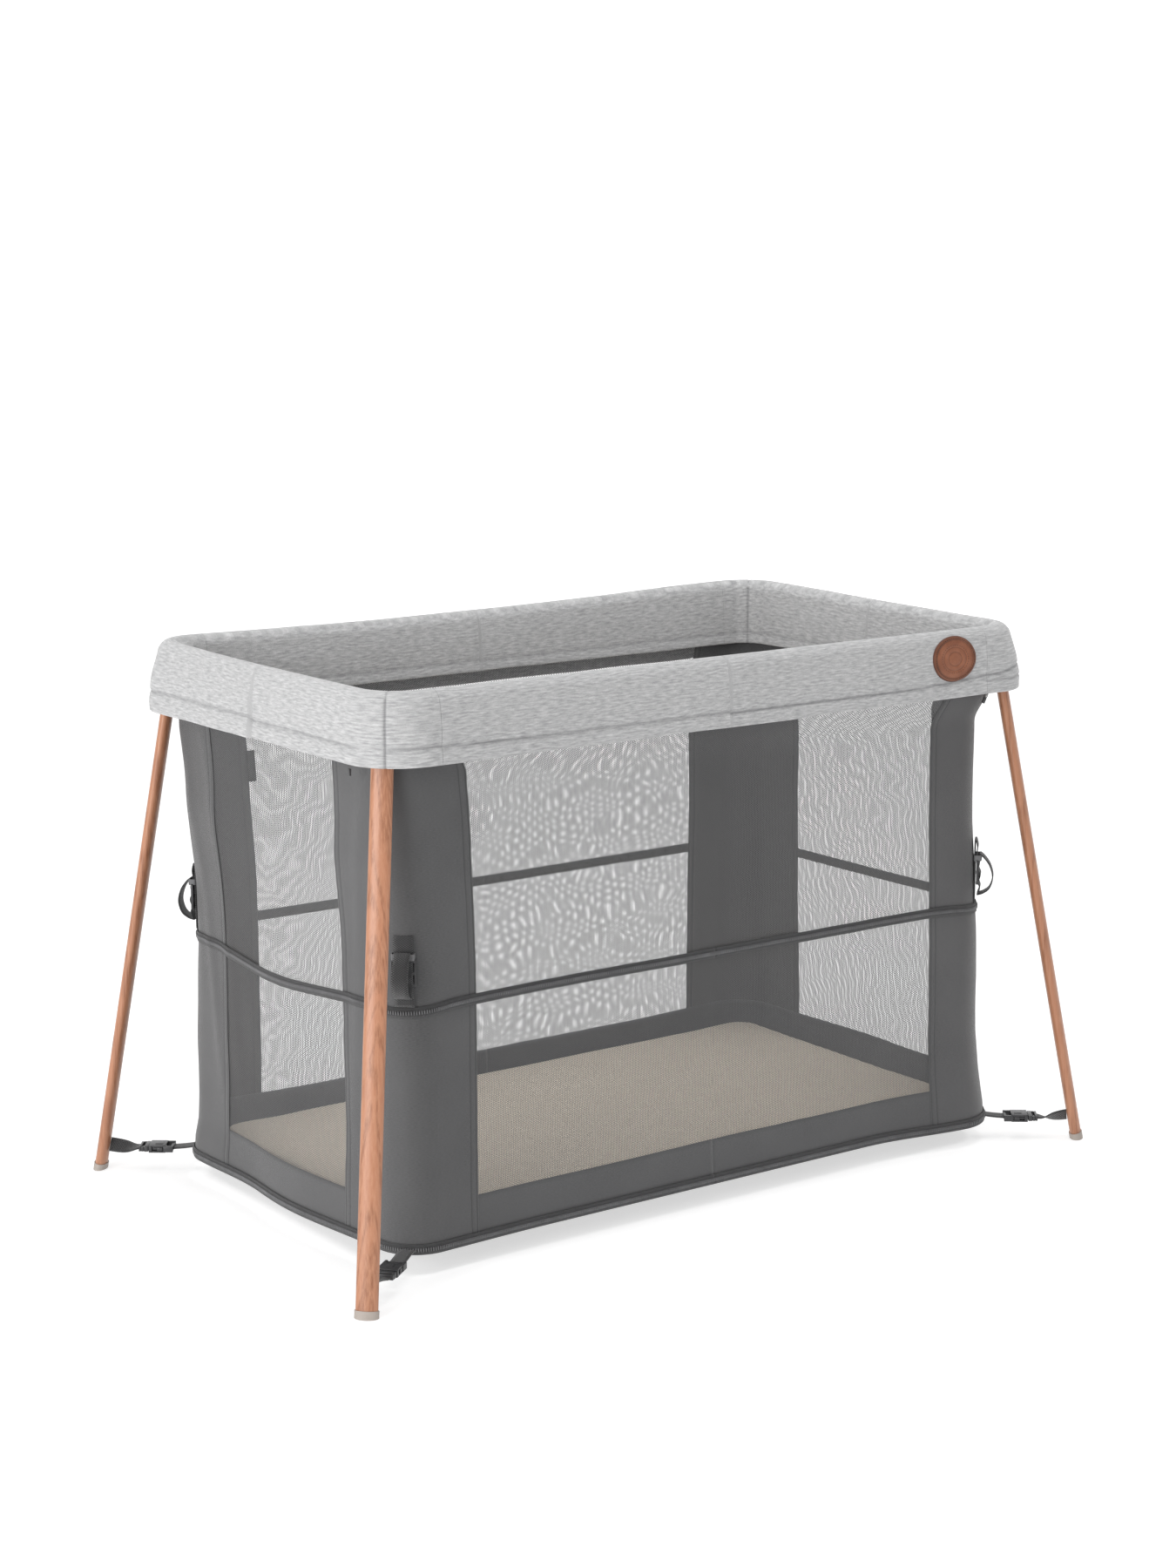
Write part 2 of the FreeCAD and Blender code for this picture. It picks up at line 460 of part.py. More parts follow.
def foot_line(sx, sy):
    """Where a foot strap leaves the base corner, and its level direction to the foot."""
    reach = (WALL_R + BINDING_PROUD) * math.sqrt(0.5)
    start = V(sx * (WALL_X - WALL_R + reach), sy * (WALL_Y - WALL_R + reach), BASE_Z + FOOT_STRAP_RISE)
    away = V(sx * FOOT_X, sy * FOOT_Y, start.z) - start
    away.normalize()
    return start, away


def along(sx, sy, start, stop, half_w, z0, z1, offset=0.0):
    """A box on a foot strap's line, between two distances from the base corner."""
    origin, away = foot_line(sx, sy)
    return block_along(origin + UP.cross(away) * offset + UP * ((z0 + z1) / 2), away, UP, (z1 - z0) / 2,
                       half_w, start, stop)


def foot_buckle(sx, sy):
    """Webbing from the base corner, the female half on it, and the male half that clips into it."""
    t = FOOT_STRAP_T / 2
    strap = along(sx, sy, FOOT_STRAP_START, FEMALE_START - EDGE_GAP, FOOT_STRAP_W / 2, -t, t)
    shell = along(sx, sy, FEMALE_START, FEMALE_START + FEMALE_LEN, FEMALE_W / 2, -FEMALE_H / 2, FEMALE_H / 2)
    mouth = FEMALE_START + FEMALE_LEN
    cavity = along(sx, sy, mouth - PRONG_LEN - 1, mouth + 1, FEMALE_W / 2 - FEMALE_WALL,
                   -PRONG_H / 2 - MALE_FIT, PRONG_H / 2 + MALE_FIT)
    reach = FEMALE_W / 2 - FEMALE_WALL - MALE_FIT - PRONG_W / 2
    prongs = [along(sx, sy, mouth - PRONG_LEN, mouth + 2, PRONG_W / 2, -PRONG_H / 2, PRONG_H / 2, s * reach)
              for s in (-1, 0, 1)]
    bar = along(sx, sy, mouth + MALE_FIT, mouth + MALE_BODY, FEMALE_W / 2,
                -FEMALE_H / 2 + MALE_THINNER, FEMALE_H / 2 - MALE_THINNER)
    slot_end = mouth + MALE_BODY - MALE_BAR
    slot = along(sx, sy, slot_end - MALE_SLOT, slot_end, FOOT_STRAP_W / 2, -BIG, BIG)
    return strap, shell.cut(cavity), fused(prongs + [bar]).cut(slot)


def straps():
    for end, sx in ENDS.items():
        feet = {sy: foot_buckle(sx, sy) for sy in SIDES.values()}
        NODES["webbing_" + end] = group([corner_strap(sx, sy) for sy in feet] + [f[0] for f in feet.values()])
        NODES["ladder_locks_" + end] = group([ladder_lock(sx, sy) for sy in feet])
        NODES["buckle_females_" + end] = group([f[1] for f in feet.values()])
        for side, sy in SIDES.items():
            NODES[f"buckle_male_{side}_{end}"] = feet[sy][2]


# Patch and label

def trims():
    y = -(RIM_Y - COVER_LEAN * (1 - PATCH_DROP / COVER_H)) - EDGE_GAP
    centre = V(PIVOT_X - PATCH_IN, y, RIM_TOP - PATCH_DROP)
    curve = Part.Ellipse(centre + V(PATCH_HALF_W, 0, 0), centre + V(0, 0, PATCH_HALF_H), centre)
    disc = Part.Face(Part.Wire(curve.toShape())).extrude(V(0, -PATCH_T, 0))
    lean = math.degrees(math.atan2(COVER_LEAN, COVER_H))
    disc.rotate(centre, V(1, 0, 0), -lean)
    NODES["leather_patch"] = disc
    x, y, top = -WINDOW_X - LABEL_LAP, WALL_Y - WALL_T - EDGE_GAP, RIM_BOTTOM - LABEL_DROP
    NODES["blank_label"] = box(x, x + LABEL_W, y - LABEL_T, y, top - LABEL_H, top)


def build():
    rim_cover()
    end_frames()
    long_rails()
    for name, (sx, sy) in CORNERS.items():
        leg(name, sx, sy)
    body()
    mattress()
    straps()
    trims()
    os.makedirs("parts", exist_ok=True)
    for name, shape in NODES.items():
        shape.exportStep(f"parts/{name}.step")
    print(len(NODES), "nodes;", "sizes", [round(n) for n in
          (lambda b: (b.XLength, b.YLength, b.ZLength))(Part.makeCompound(list(NODES.values())).BoundBox)])


build()
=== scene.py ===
# %% [markdown]
# # A travel play yard, dressed round its working frame
# The frame that folds comes from the CAD pack and stays exactly as it is: legs, rails, hinges and pins.
# This lesson makes what is soft or finely detailed round it: a padded rim, walls of cloth and see-through
# mesh, zips, webbing with its buckles, the mattress and a leather patch. Everything is in metres, with the
# origin on the floor under the middle, +X along the long side and +Z up, so each piece is made where it
# belongs.

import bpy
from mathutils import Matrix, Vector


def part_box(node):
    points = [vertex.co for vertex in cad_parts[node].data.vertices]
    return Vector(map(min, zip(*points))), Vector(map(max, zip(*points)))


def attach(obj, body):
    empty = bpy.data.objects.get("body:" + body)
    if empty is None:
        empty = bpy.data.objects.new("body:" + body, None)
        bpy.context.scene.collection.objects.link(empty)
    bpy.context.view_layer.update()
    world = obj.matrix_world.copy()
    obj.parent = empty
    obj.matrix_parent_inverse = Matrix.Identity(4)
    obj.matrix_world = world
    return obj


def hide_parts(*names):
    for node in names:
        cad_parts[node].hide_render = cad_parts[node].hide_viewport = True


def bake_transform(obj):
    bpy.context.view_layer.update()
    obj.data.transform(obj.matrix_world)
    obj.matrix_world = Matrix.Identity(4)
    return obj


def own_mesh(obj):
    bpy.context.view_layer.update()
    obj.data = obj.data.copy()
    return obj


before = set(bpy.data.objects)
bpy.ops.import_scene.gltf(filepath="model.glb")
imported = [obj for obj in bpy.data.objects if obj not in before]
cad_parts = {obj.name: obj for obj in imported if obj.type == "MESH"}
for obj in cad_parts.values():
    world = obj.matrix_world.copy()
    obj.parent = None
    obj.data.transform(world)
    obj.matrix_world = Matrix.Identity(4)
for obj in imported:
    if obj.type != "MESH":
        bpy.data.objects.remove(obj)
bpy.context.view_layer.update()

import math

import bmesh
import bpy
from mathutils import Matrix, Vector, noise

# %% [markdown]
# ## Camera
# A camera is placed by where it stands and which way it looks. Turning three plain angles into the
# directions ahead, right and up keeps every number readable, and a matrix of those directions is what
# Blender stores.

# %% Camera
yaw, pitch, roll = (math.radians(a) for a in (35.47, 10.78, -0.39))
ahead = Vector((math.sin(yaw) * math.cos(pitch), math.cos(yaw) * math.cos(pitch), -math.sin(pitch)))
right = Vector((math.cos(yaw), -math.sin(yaw), 0))
up = right.cross(ahead)
right, up = right * math.cos(roll) + up * math.sin(roll), up * math.cos(roll) - right * math.sin(roll)
camera = bpy.data.objects.new("camera", bpy.data.cameras.new("camera"))
camera.data.lens, camera.data.sensor_width = 67.0, 36.0
turn = Matrix((right, up, -ahead)).transposed().to_4x4()
camera.matrix_world = Matrix.Translation((-2.2855, -3.1974, 1.2747)) @ turn
bpy.context.scene.collection.objects.link(camera)
bpy.context.scene.camera = camera
print("camera looks", [round(v, 3) for v in ahead])

# %% [markdown]
# ## Small helpers
# Each piece is a bmesh that ends up as an object at the origin. One helper does that last step the same way
# every time: doubled points are merged, faces are turned outwards, and the faces are shaded smooth.

# %% Turn a bmesh into a piece
pieces = {}


def finish_piece(name, bm, *materials, outwards=True):
    """Links the bmesh as a finished object at the origin."""
    bmesh.ops.remove_doubles(bm, verts=bm.verts, dist=1e-6)
    if outwards:
        bmesh.ops.recalc_face_normals(bm, faces=bm.faces)
    for face in bm.faces:
        face.smooth = True
    mesh = bpy.data.meshes.new(name)
    bm.to_mesh(mesh)
    bm.free()
    piece = bpy.data.objects.new(name, mesh)
    bpy.context.scene.collection.objects.link(piece)
    for material in materials:
        mesh.materials.append(material)
    pieces[name] = piece
    return piece


def thicken(piece, thickness, offset=0.0):
    """Gives a sheet its real thickness."""
    wall = piece.modifiers.new("thickness", "SOLIDIFY")
    wall.thickness, wall.offset = thickness, offset
    return piece


def soften(piece, width, segments=2, angle=40):
    """Rounds a moulded piece's edges."""
    edge = piece.modifiers.new("rounded", "BEVEL")
    edge.width, edge.segments, edge.limit_method = width, segments, "ANGLE"
    edge.angle_limit = math.radians(angle)
    return piece


def ease(value, low, high):
    """0 before low, 1 after high, and smooth between them."""
    t = min(max((value - low) / (high - low), 0.0), 1.0)
    return t * t * (3 - 2 * t)


def bump_at(value, centre, width):
    """A smooth bump of height 1 at centre."""
    return math.exp(-((value - centre) / width) ** 2)


# %% [markdown]
# ## Material helpers
# A finish is a small graph of nodes. Cloth is described in its own coordinates, how far along the cloth and
# how far up it a point lies, because the threads follow the cloth round every corner. Those two lengths are
# stored on the points as an attribute named `lay`, in metres. Hard parts read plain Object coordinates.

# %% Node helpers
def new_finish(name, colour, roughness, **shader_values):
    """A material whose constants sit on the shader's own sockets."""
    finish = bpy.data.materials.new(name)
    finish.use_nodes = True
    shader = finish.node_tree.nodes["Principled BSDF"]
    shader.inputs["Base Color"].default_value = (*colour, 1)
    shader.inputs["Roughness"].default_value = roughness
    for socket, value in shader_values.items():
        shader.inputs[socket.replace("_", " ")].default_value = value
    return finish, shader


def add_node(finish, kind, values=None, **settings):
    """Adds a node and fills in its settings and its sockets."""
    made = finish.node_tree.nodes.new("ShaderNode" + kind)
    for key, value in settings.items():
        setattr(made, key, value)
    for key, value in (values or {}).items():
        made.inputs[key].default_value = value
    return made


def join(finish, source, target):
    finish.node_tree.links.new(source, target)


def cloth_place(finish, across, along):
    """Coordinates that follow the cloth, counted in repeats per metre across and along it."""
    lay = add_node(finish, "Attribute", attribute_name="lay")
    scaled = add_node(finish, "Mapping", {"Scale": (across, along, 1.0)})
    join(finish, lay.outputs["Vector"], scaled.inputs["Vector"])
    return scaled.outputs["Vector"]


def solid_place(finish, x, y, z, turn=(0, 0, 0)):
    """Coordinates in the object's own frame, counted in repeats per metre."""
    where = add_node(finish, "TexCoord")
    scaled = add_node(finish, "Mapping", {"Scale": (x, y, z), "Rotation": turn})
    join(finish, where.outputs["Object"], scaled.inputs["Vector"])
    return scaled.outputs["Vector"]


def speckle(finish, place, detail=2.0, roughness=0.5, distortion=0.0):
    made = add_node(finish, "TexNoise", {"Scale": 1.0, "Detail": detail, "Roughness": roughness,
                                         "Distortion": distortion})
    join(finish, place, made.inputs["Vector"])
    return made.outputs["Fac"]


def mix_colours(finish, factor, first, second):
    """Mixes two colours or sockets by a factor socket."""
    made = add_node(finish, "Mix", data_type="RGBA")
    for socket, value in ((made.inputs[0], factor), (made.inputs[6], first), (made.inputs[7], second)):
        if hasattr(value, "is_output"):
            join(finish, value, socket)
        else:
            socket.default_value = value if isinstance(value, float) else (*value, 1)
    return made.outputs[2]


def ramp(finish, value, low, high):
    """Stretches the part of a pattern between low and high to 0..1."""
    made = add_node(finish, "MapRange", {"From Min": low, "From Max": high})
    join(finish, value, made.inputs["Value"])
    return made.outputs["Result"]


def raise_surface(finish, shader, height, distance, strength=1.0):
    made = add_node(finish, "Bump", {"Distance": distance, "Strength": strength})
    join(finish, height, made.inputs["Height"])
    join(finish, made.outputs["Normal"], shader.inputs["Normal"])


def combine(finish, operation, first, second):
    made = add_node(finish, "Math", operation=operation)
    for socket, value in zip(made.inputs, (first, second)):
        if hasattr(value, "is_output"):
            join(finish, value, socket)
        else:
            socket.default_value = value
    return made.outputs["Value"]


def weave_height(finish, place):
    """Plain weave: warp and weft ridges, one repeat a unit."""
    split = add_node(finish, "SeparateXYZ")
    join(finish, place, split.inputs["Vector"])
    ridges = []
    for axis in ("X", "Y"):
        angle = combine(finish, "MULTIPLY", split.outputs[axis], 2 * math.pi)
        ridges.append(combine(finish, "SINE", angle, 0.0))
    return combine(finish, "MULTIPLY", ridges[0], ridges[1])


# %% [markdown]
# ## Knitted rim cloth
# The padded rim is wrapped in a soft knitted jersey of mixed light and dark grey yarns. The yarns run round
# the rim, so the flecks are drawn out into short streaks along it. Three noises do that: broad, streaky and
# fine. The attribute `seam` darkens the sewn channels, where the cloth is pulled in and collects shade.

# %% Knit finish
knit, knit_shader = new_finish("heather_knit", (0.5, 0.5, 0.5), 0.92, Sheen_Weight=0.25, Sheen_Roughness=0.6,
                               Specular_IOR_Level=0.2)
streaks = speckle(knit, cloth_place(knit, 70, 420), 3.0, 0.6)
flecks = speckle(knit, cloth_place(knit, 330, 1500), 2.0, 0.7)
clouds = speckle(knit, cloth_place(knit, 9, 14), 2.0)
tone = mix_colours(knit, ramp(knit, streaks, 0.3, 0.7), (0.315, 0.315, 0.32), (0.60, 0.60, 0.60))
tone = mix_colours(knit, ramp(knit, flecks, 0.36, 0.66),
                   mix_colours(knit, 0.22, tone, (0.16, 0.16, 0.165)), tone)
tone = mix_colours(knit, ramp(knit, clouds, 0.3, 0.7), mix_colours(knit, 0.07, tone, (0.2, 0.2, 0.2)), tone)
seam_shade = add_node(knit, "Attribute", attribute_name="seam")
tone = mix_colours(knit, combine(knit, "MULTIPLY", seam_shade.outputs["Fac"], 0.55), tone, (0.1, 0.1, 0.105))
join(knit, tone, knit_shader.inputs["Base Color"])
loops = add_node(knit, "TexVoronoi", {"Scale": 1.0})
join(knit, cloth_place(knit, 900, 650), loops.inputs["Vector"])
raise_surface(knit, knit_shader, combine(knit, "ADD", loops.outputs["Distance"], flecks), 0.0004, 0.6)
print("finish", knit.name)

# %% [markdown]
# ## Wall cloth, mesh, zip and webbing
# The corners and the base are a tight dark polyester with a slight satin sheen. The windows are warp-
# knitted mesh: a honeycomb of thin yarn round open holes. Three cosines at 0, 60 and 120 degrees add up to
# a triangular pattern whose low places form that honeycomb, so one comparison makes the yarn solid and the
# holes clear.

# %% Woven and mesh finishes
polyester, polyester_shader = new_finish("dark_polyester", (0.075, 0.075, 0.077), 0.55, Sheen_Weight=0.3,
                                         Sheen_Roughness=0.45, Specular_IOR_Level=0.35)
shade = speckle(polyester, cloth_place(polyester, 12, 9), 3.0)
thread = speckle(polyester, cloth_place(polyester, 260, 1400), 2.0)
tone = mix_colours(polyester, ramp(polyester, shade, 0.3, 0.7), (0.060, 0.060, 0.062), (0.082, 0.082, 0.084))
tone = mix_colours(polyester, ramp(polyester, thread, 0.3, 0.75), tone, (0.098, 0.098, 0.100))
crease_shade = add_node(polyester, "Attribute", attribute_name="seam")
tone = mix_colours(polyester, combine(polyester, "MULTIPLY", crease_shade.outputs["Fac"], 0.6), tone,
                   (0.03, 0.03, 0.031))
join(polyester, tone, polyester_shader.inputs["Base Color"])
raise_surface(polyester, polyester_shader, weave_height(polyester, cloth_place(polyester, 1300, 1300)),
              0.0002, 0.5)

PITCH, OPEN_LEVEL = 0.0024, -0.57        # spacing of the mesh holes, and the level between yarn and hole
netting, netting_shader = new_finish("window_mesh", (0.13, 0.13, 0.133), 0.6, Sheen_Weight=0.2)
lay = add_node(netting, "Attribute", attribute_name="lay")
drift = add_node(netting, "TexNoise", {"Scale": 1.0, "Detail": 1.0})
join(netting, cloth_place(netting, 16, 28), drift.inputs["Vector"])
pulled = add_node(netting, "VectorMath", operation="MULTIPLY_ADD")
join(netting, drift.outputs["Color"], pulled.inputs[0])
pulled.inputs[1].default_value = (0.004, 0.007, 0.0)
join(netting, lay.outputs["Vector"], pulled.inputs[2])
waves = []
for degrees in (0, 60, 120):
    swing = 4 * math.pi / (math.sqrt(3) * PITCH)
    way = (swing * math.cos(math.radians(degrees)), swing * math.sin(math.radians(degrees)), 0)
    along = add_node(netting, "VectorMath", operation="DOT_PRODUCT")
    along.inputs[1].default_value = way
    join(netting, pulled.outputs["Vector"], along.inputs[0])
    waves.append(combine(netting, "COSINE", along.outputs["Value"], 0.0))
honeycomb = combine(netting, "ADD", combine(netting, "ADD", waves[0], waves[1]), waves[2])
yarn = combine(netting, "SUBTRACT", 1.0, ramp(netting, honeycomb, OPEN_LEVEL - 0.35, OPEN_LEVEL + 0.35))
join(netting, yarn, netting_shader.inputs["Alpha"])
join(netting, mix_colours(netting, ramp(netting, honeycomb, -1.5, -0.7),
                          (0.15, 0.15, 0.153), (0.10, 0.10, 0.102)), netting_shader.inputs["Base Color"])
print("finishes", polyester.name, netting.name)

# %% Zip, webbing, mattress and label finishes
zip_cloth, zip_cloth_shader = new_finish("zip_tape", (0.03, 0.03, 0.031), 0.7, Sheen_Weight=0.2)
rib = speckle(zip_cloth, cloth_place(zip_cloth, 900, 300), 1.0)
join(zip_cloth, mix_colours(zip_cloth, rib, (0.024, 0.024, 0.025), (0.05, 0.05, 0.052)),
     zip_cloth_shader.inputs["Base Color"])
raise_surface(zip_cloth, zip_cloth_shader, weave_height(zip_cloth, cloth_place(zip_cloth, 1000, 1000)),
              0.0002)

zip_coil, zip_coil_shader = new_finish("zip_coil", (0.11, 0.11, 0.115), 0.35, Specular_IOR_Level=0.6)
coil_shade = speckle(zip_coil, solid_place(zip_coil, 60, 60, 60), 1.0)
join(zip_coil, mix_colours(zip_coil, coil_shade, (0.08, 0.08, 0.083), (0.16, 0.16, 0.165)),
     zip_coil_shader.inputs["Base Color"])

webbing, webbing_shader = new_finish("black_webbing", (0.022, 0.022, 0.023), 0.62, Sheen_Weight=0.3)
ribs = weave_height(webbing, cloth_place(webbing, 420, 260))
join(webbing, mix_colours(webbing, ramp(webbing, ribs, -1.0, 1.0),
                          (0.015, 0.015, 0.016), (0.042, 0.042, 0.044)), webbing_shader.inputs["Base Color"])
raise_surface(webbing, webbing_shader, ribs, 0.0006)

elastic, elastic_shader = new_finish("grey_elastic", (0.13, 0.13, 0.135), 0.75)
elastic_ribs = weave_height(elastic, solid_place(elastic, 500, 500, 900))
join(elastic, mix_colours(elastic, ramp(elastic, elastic_ribs, -1.0, 1.0),
                          (0.1, 0.1, 0.103), (0.17, 0.17, 0.175)), elastic_shader.inputs["Base Color"])

beige, beige_shader = new_finish("mattress_cloth", (0.69, 0.60, 0.49), 0.9, Sheen_Weight=0.2)
slub = speckle(beige, solid_place(beige, 420, 90, 200), 3.0)
blotch = speckle(beige, solid_place(beige, 7, 7, 7), 2.0)
tone = mix_colours(beige, ramp(beige, slub, 0.3, 0.7), (0.64, 0.555, 0.45), (0.74, 0.65, 0.535))
tone = mix_colours(beige, ramp(beige, blotch, 0.2, 0.8),
                   mix_colours(beige, 0.1, tone, (0.45, 0.38, 0.3)), tone)
join(beige, tone, beige_shader.inputs["Base Color"])
raise_surface(beige, beige_shader, weave_height(beige, solid_place(beige, 900, 900, 900)), 0.0003, 0.7)
print("finishes made:", len(bpy.data.materials))

# %% [markdown]
# ## Hard finishes
# The legs are aluminium tubes with a printed wood pattern under satin lacquer: long wavering lines, a
# little darker every few centimetres, drawn out along the leg. Plastics get a fine moulded texture and a
# little colour variation, metals a brushed look. All of them read Object coordinates, since these parts
# keep their shape.

# %% Leg, plastic and metal finishes
def wood_print(name, lean_x, lean_y):
    """Wood pattern drawn out along a leg that leans by these angles."""
    finish, shader = new_finish(name, (0.55, 0.3, 0.17), 0.42, Coat_Weight=0.15, Coat_Roughness=0.3)
    turn = (lean_x, lean_y, 0)
    wander = speckle(finish, solid_place(finish, 26, 26, 2.2, turn), 3.0, 0.55, 0.6)
    rings = combine(finish, "SINE", combine(finish, "MULTIPLY", wander, 42.0), 0.0)
    fibre = speckle(finish, solid_place(finish, 420, 420, 14, turn), 3.0, 0.6)
    knots = speckle(finish, solid_place(finish, 14, 14, 5, turn), 2.0)
    tone = mix_colours(finish, ramp(finish, rings, -0.4, 1.0), (0.41, 0.175, 0.092), (0.275, 0.108, 0.052))
    tone = mix_colours(finish, ramp(finish, fibre, 0.35, 0.75), tone, (0.47, 0.225, 0.128))
    tone = mix_colours(finish, ramp(finish, knots, 0.62, 0.8), tone, (0.22, 0.078, 0.038))
    join(finish, tone, shader.inputs["Base Color"])
    raise_surface(finish, shader, fibre, 0.0002, 0.4)
    return finish


def moulded(name, colour, lighter, roughness, grain=700.0):
    """Plastic with a fine moulded grain."""
    finish, shader = new_finish(name, colour, roughness)
    join(finish, mix_colours(finish, speckle(finish, solid_place(finish, 40, 40, 40), 3.0), colour, lighter),
         shader.inputs["Base Color"])
    raise_surface(finish, shader, speckle(finish, solid_place(finish, grain, grain, grain), 2.0), 0.0001, 0.6)
    return finish


def metal(name, colour, roughness, along):
    """Drawn or plated metal, brushed along one axis."""
    finish, shader = new_finish(name, colour, roughness, Metallic=1.0)
    brushed = speckle(finish, solid_place(finish, *along), 2.0)
    join(finish, ramp(finish, brushed, -roughness, 3.0), shader.inputs["Roughness"])
    darker = tuple(c * 0.8 for c in colour)
    join(finish, mix_colours(finish, brushed, colour, darker), shader.inputs["Base Color"])
    return finish


splay = {"front": 1, "back": -1, "left": -1, "right": 1}
leg_finish = {(side, end): wood_print(f"wood_print_{side}_{end}", 0.123 * splay[side], 0.132 * splay[end])
              for side in ("front", "back") for end in ("left", "right")}
cap_rubber = moulded("cap_rubber", (0.33, 0.285, 0.25), (0.40, 0.355, 0.32), 0.6)
bracket_nylon = moulded("bracket_nylon", (0.03, 0.03, 0.032), (0.05, 0.05, 0.053), 0.45)
buckle_acetal = moulded("buckle_acetal", (0.026, 0.026, 0.028), (0.045, 0.045, 0.047), 0.38)
button_nylon = moulded("button_nylon", (0.2, 0.2, 0.205), (0.26, 0.26, 0.265), 0.5)
tube_alu = metal("tube_alu", (0.6, 0.6, 0.62), 0.35, (40, 900, 900))
pin_steel = metal("pin_steel", (0.55, 0.55, 0.57), 0.3, (900, 40, 900))
board = moulded("hardboard", (0.22, 0.16, 0.1), (0.3, 0.23, 0.15), 0.8, 300.0)
print("hard finishes made")

# %% [markdown]
# ## Dress the frame's own parts
# The CAD parts that stay in sight keep their shape and only get a finish. Each one is found by its name.

# %% Finishes on the frame
def finish_for(node):
    """The finish for a frame part, found by how its name starts. Cloth parts get the wall cloth."""
    if node.startswith("leg_tube"):
        return leg_finish[tuple(node.split("_")[2:])]
    for start, finish in (("foot_cap", cap_rubber), ("leg_knuckle", bracket_nylon),
                          ("corner_brackets", bracket_nylon), ("centre_hinge", bracket_nylon),
                          ("long_rail", tube_alu), ("end_rail", tube_alu), ("pivot_pins", pin_steel),
                          ("latch_spring", pin_steel), ("latch_button", button_nylon),
                          ("buckle", buckle_acetal), ("mattress_boards", board)):
        if node.startswith(start):
            return finish
    return polyester


for node_name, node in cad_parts.items():
    node.data.materials.clear()
    node.data.materials.append(finish_for(node_name))
print("dressed", len(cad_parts), "frame parts")

# %% [markdown]
# ## The rim's plan
# The rim is a rounded rectangle. Two questions come up again and again: which way is outwards at a point,
# and how far round the rim does it lie? Both are answered from the plan: straight runs outside the corner
# centres, and quarter circles about them.

# %% Plan of the rim
END_X, SIDE_Y, CORNER_R = 0.530, 0.311, 0.075    # outer lower edge of the padded rim, and its corner radius
CENTRE_X, CENTRE_Y = END_X - CORNER_R, SIDE_Y - CORNER_R
HEM_Z, CREST_Z = 0.647, 0.735
PIVOT_X = 0.441                                   # where the long covers end, at the corner pivots
LEAN, COVER_WIDE = 0.007, 0.042                   # how far the outer face leans in, and the cover's width
ROUND_R = 0.055                                   # radius on which lengths round a corner are counted


def around_rim(x, y):
    """Outward direction, distance outside the corner centres, distance round the rim from the middle of the
    side, and the angle turned through a corner."""
    over_x, over_y = abs(x) - CENTRE_X, abs(y) - CENTRE_Y
    way_x, way_y = math.copysign(1, x), math.copysign(1, y)
    if over_x > 0 and over_y > 0:
        angle = math.atan2(over_x, over_y)
        return Vector((way_x * math.sin(angle), way_y * math.cos(angle), 0)), math.hypot(over_x, over_y), \
            CENTRE_X + angle * ROUND_R, angle
    if over_x > over_y:
        round_end = CENTRE_X + math.pi / 2 * ROUND_R + CENTRE_Y - abs(y)
        return Vector((way_x, 0, 0)), over_x, round_end, math.pi / 2
    return Vector((0, way_y, 0)), over_y, abs(x), 0.0


print("corner centre", CENTRE_X, CENTRE_Y)

# %% [markdown]
# ## The rim cover's section
# Cut across, the cover is an upside-down U of foam-backed cloth: an outer face that leans in a little, a
# round crest over the rail, and an inner face. It starts as one face with eight corners. Bevelling its
# corner points rounds the crest and the hems, its long edges are divided finely, and then the face goes and
# its outline stays.

# %% Section of the cover
def cover_section(bm):
    """The cover's outline in the plane across the front, at x = 0."""
    outline = [(0.530, 0.647), (0.523, 0.735), (0.494, 0.735), (0.488, 0.651),
               (0.4925, 0.651), (0.4985, 0.7302), (0.5185, 0.7302), (0.5255, 0.647)]
    corners = [bm.verts.new((0, -(x - END_X + SIDE_Y), z)) for x, z in outline]
    bm.faces.new(corners)
    for group, width, count in ((corners[1:3], 0.0142, 8), (corners[5:7], 0.0095, 6),
                                ([corners[0], corners[3], corners[4], corners[7]], 0.0021, 3)):
        bmesh.ops.bevel(bm, geom=group, offset=width, offset_type="OFFSET", segments=count, profile=0.5,
                        affect="VERTICES", material=-1)
    bmesh.ops.delete(bm, geom=list(bm.faces), context="FACES_ONLY")
    long_edges = [e for e in bm.edges if e.calc_length() > 0.03]
    outside = [e for e in long_edges if sum(v.co.y for v in e.verts) / 2 < -0.3028]
    bmesh.ops.subdivide_edges(bm, edges=outside, cuts=26)
    inside = [e for e in bm.edges if e.calc_length() > 0.03]
    bmesh.ops.subdivide_edges(bm, edges=inside, cuts=14)
    return list(bm.verts) + list(bm.edges)


def run_on(bm, geometry, steps, dvec=(0, 0, 0), angle=0.0, centre=(0, 0, 0)):
    """Sweeps the section a straight stretch, or a turn about a corner, and returns its far end."""
    step = tuple(v / steps for v in dvec)
    swept = bmesh.ops.spin(bm, geom=geometry, cent=centre, axis=(0, 0, 1), dvec=step, angle=angle,
                           steps=steps, use_merge=False, use_duplicate=False)
    return swept["geom_last"]


trial = bmesh.new()
print("section has", len([g for g in cover_section(trial) if isinstance(g, bmesh.types.BMVert)]), "points")
trial.free()

# %% [markdown]
# ## Seams and softness
# A line of stitches pulls foam and cloth in, so a seam is a narrow groove with a soft swelling on each
# side. On this rim one seam runs round the outer face about 20 mm above the hem and climbs at two of the
# corners, one runs low on the inner face, and upright seams close the cover at corners. The moves below
# push points along the outward direction, and a slow, seeded noise stops the long faces from looking
# machined.

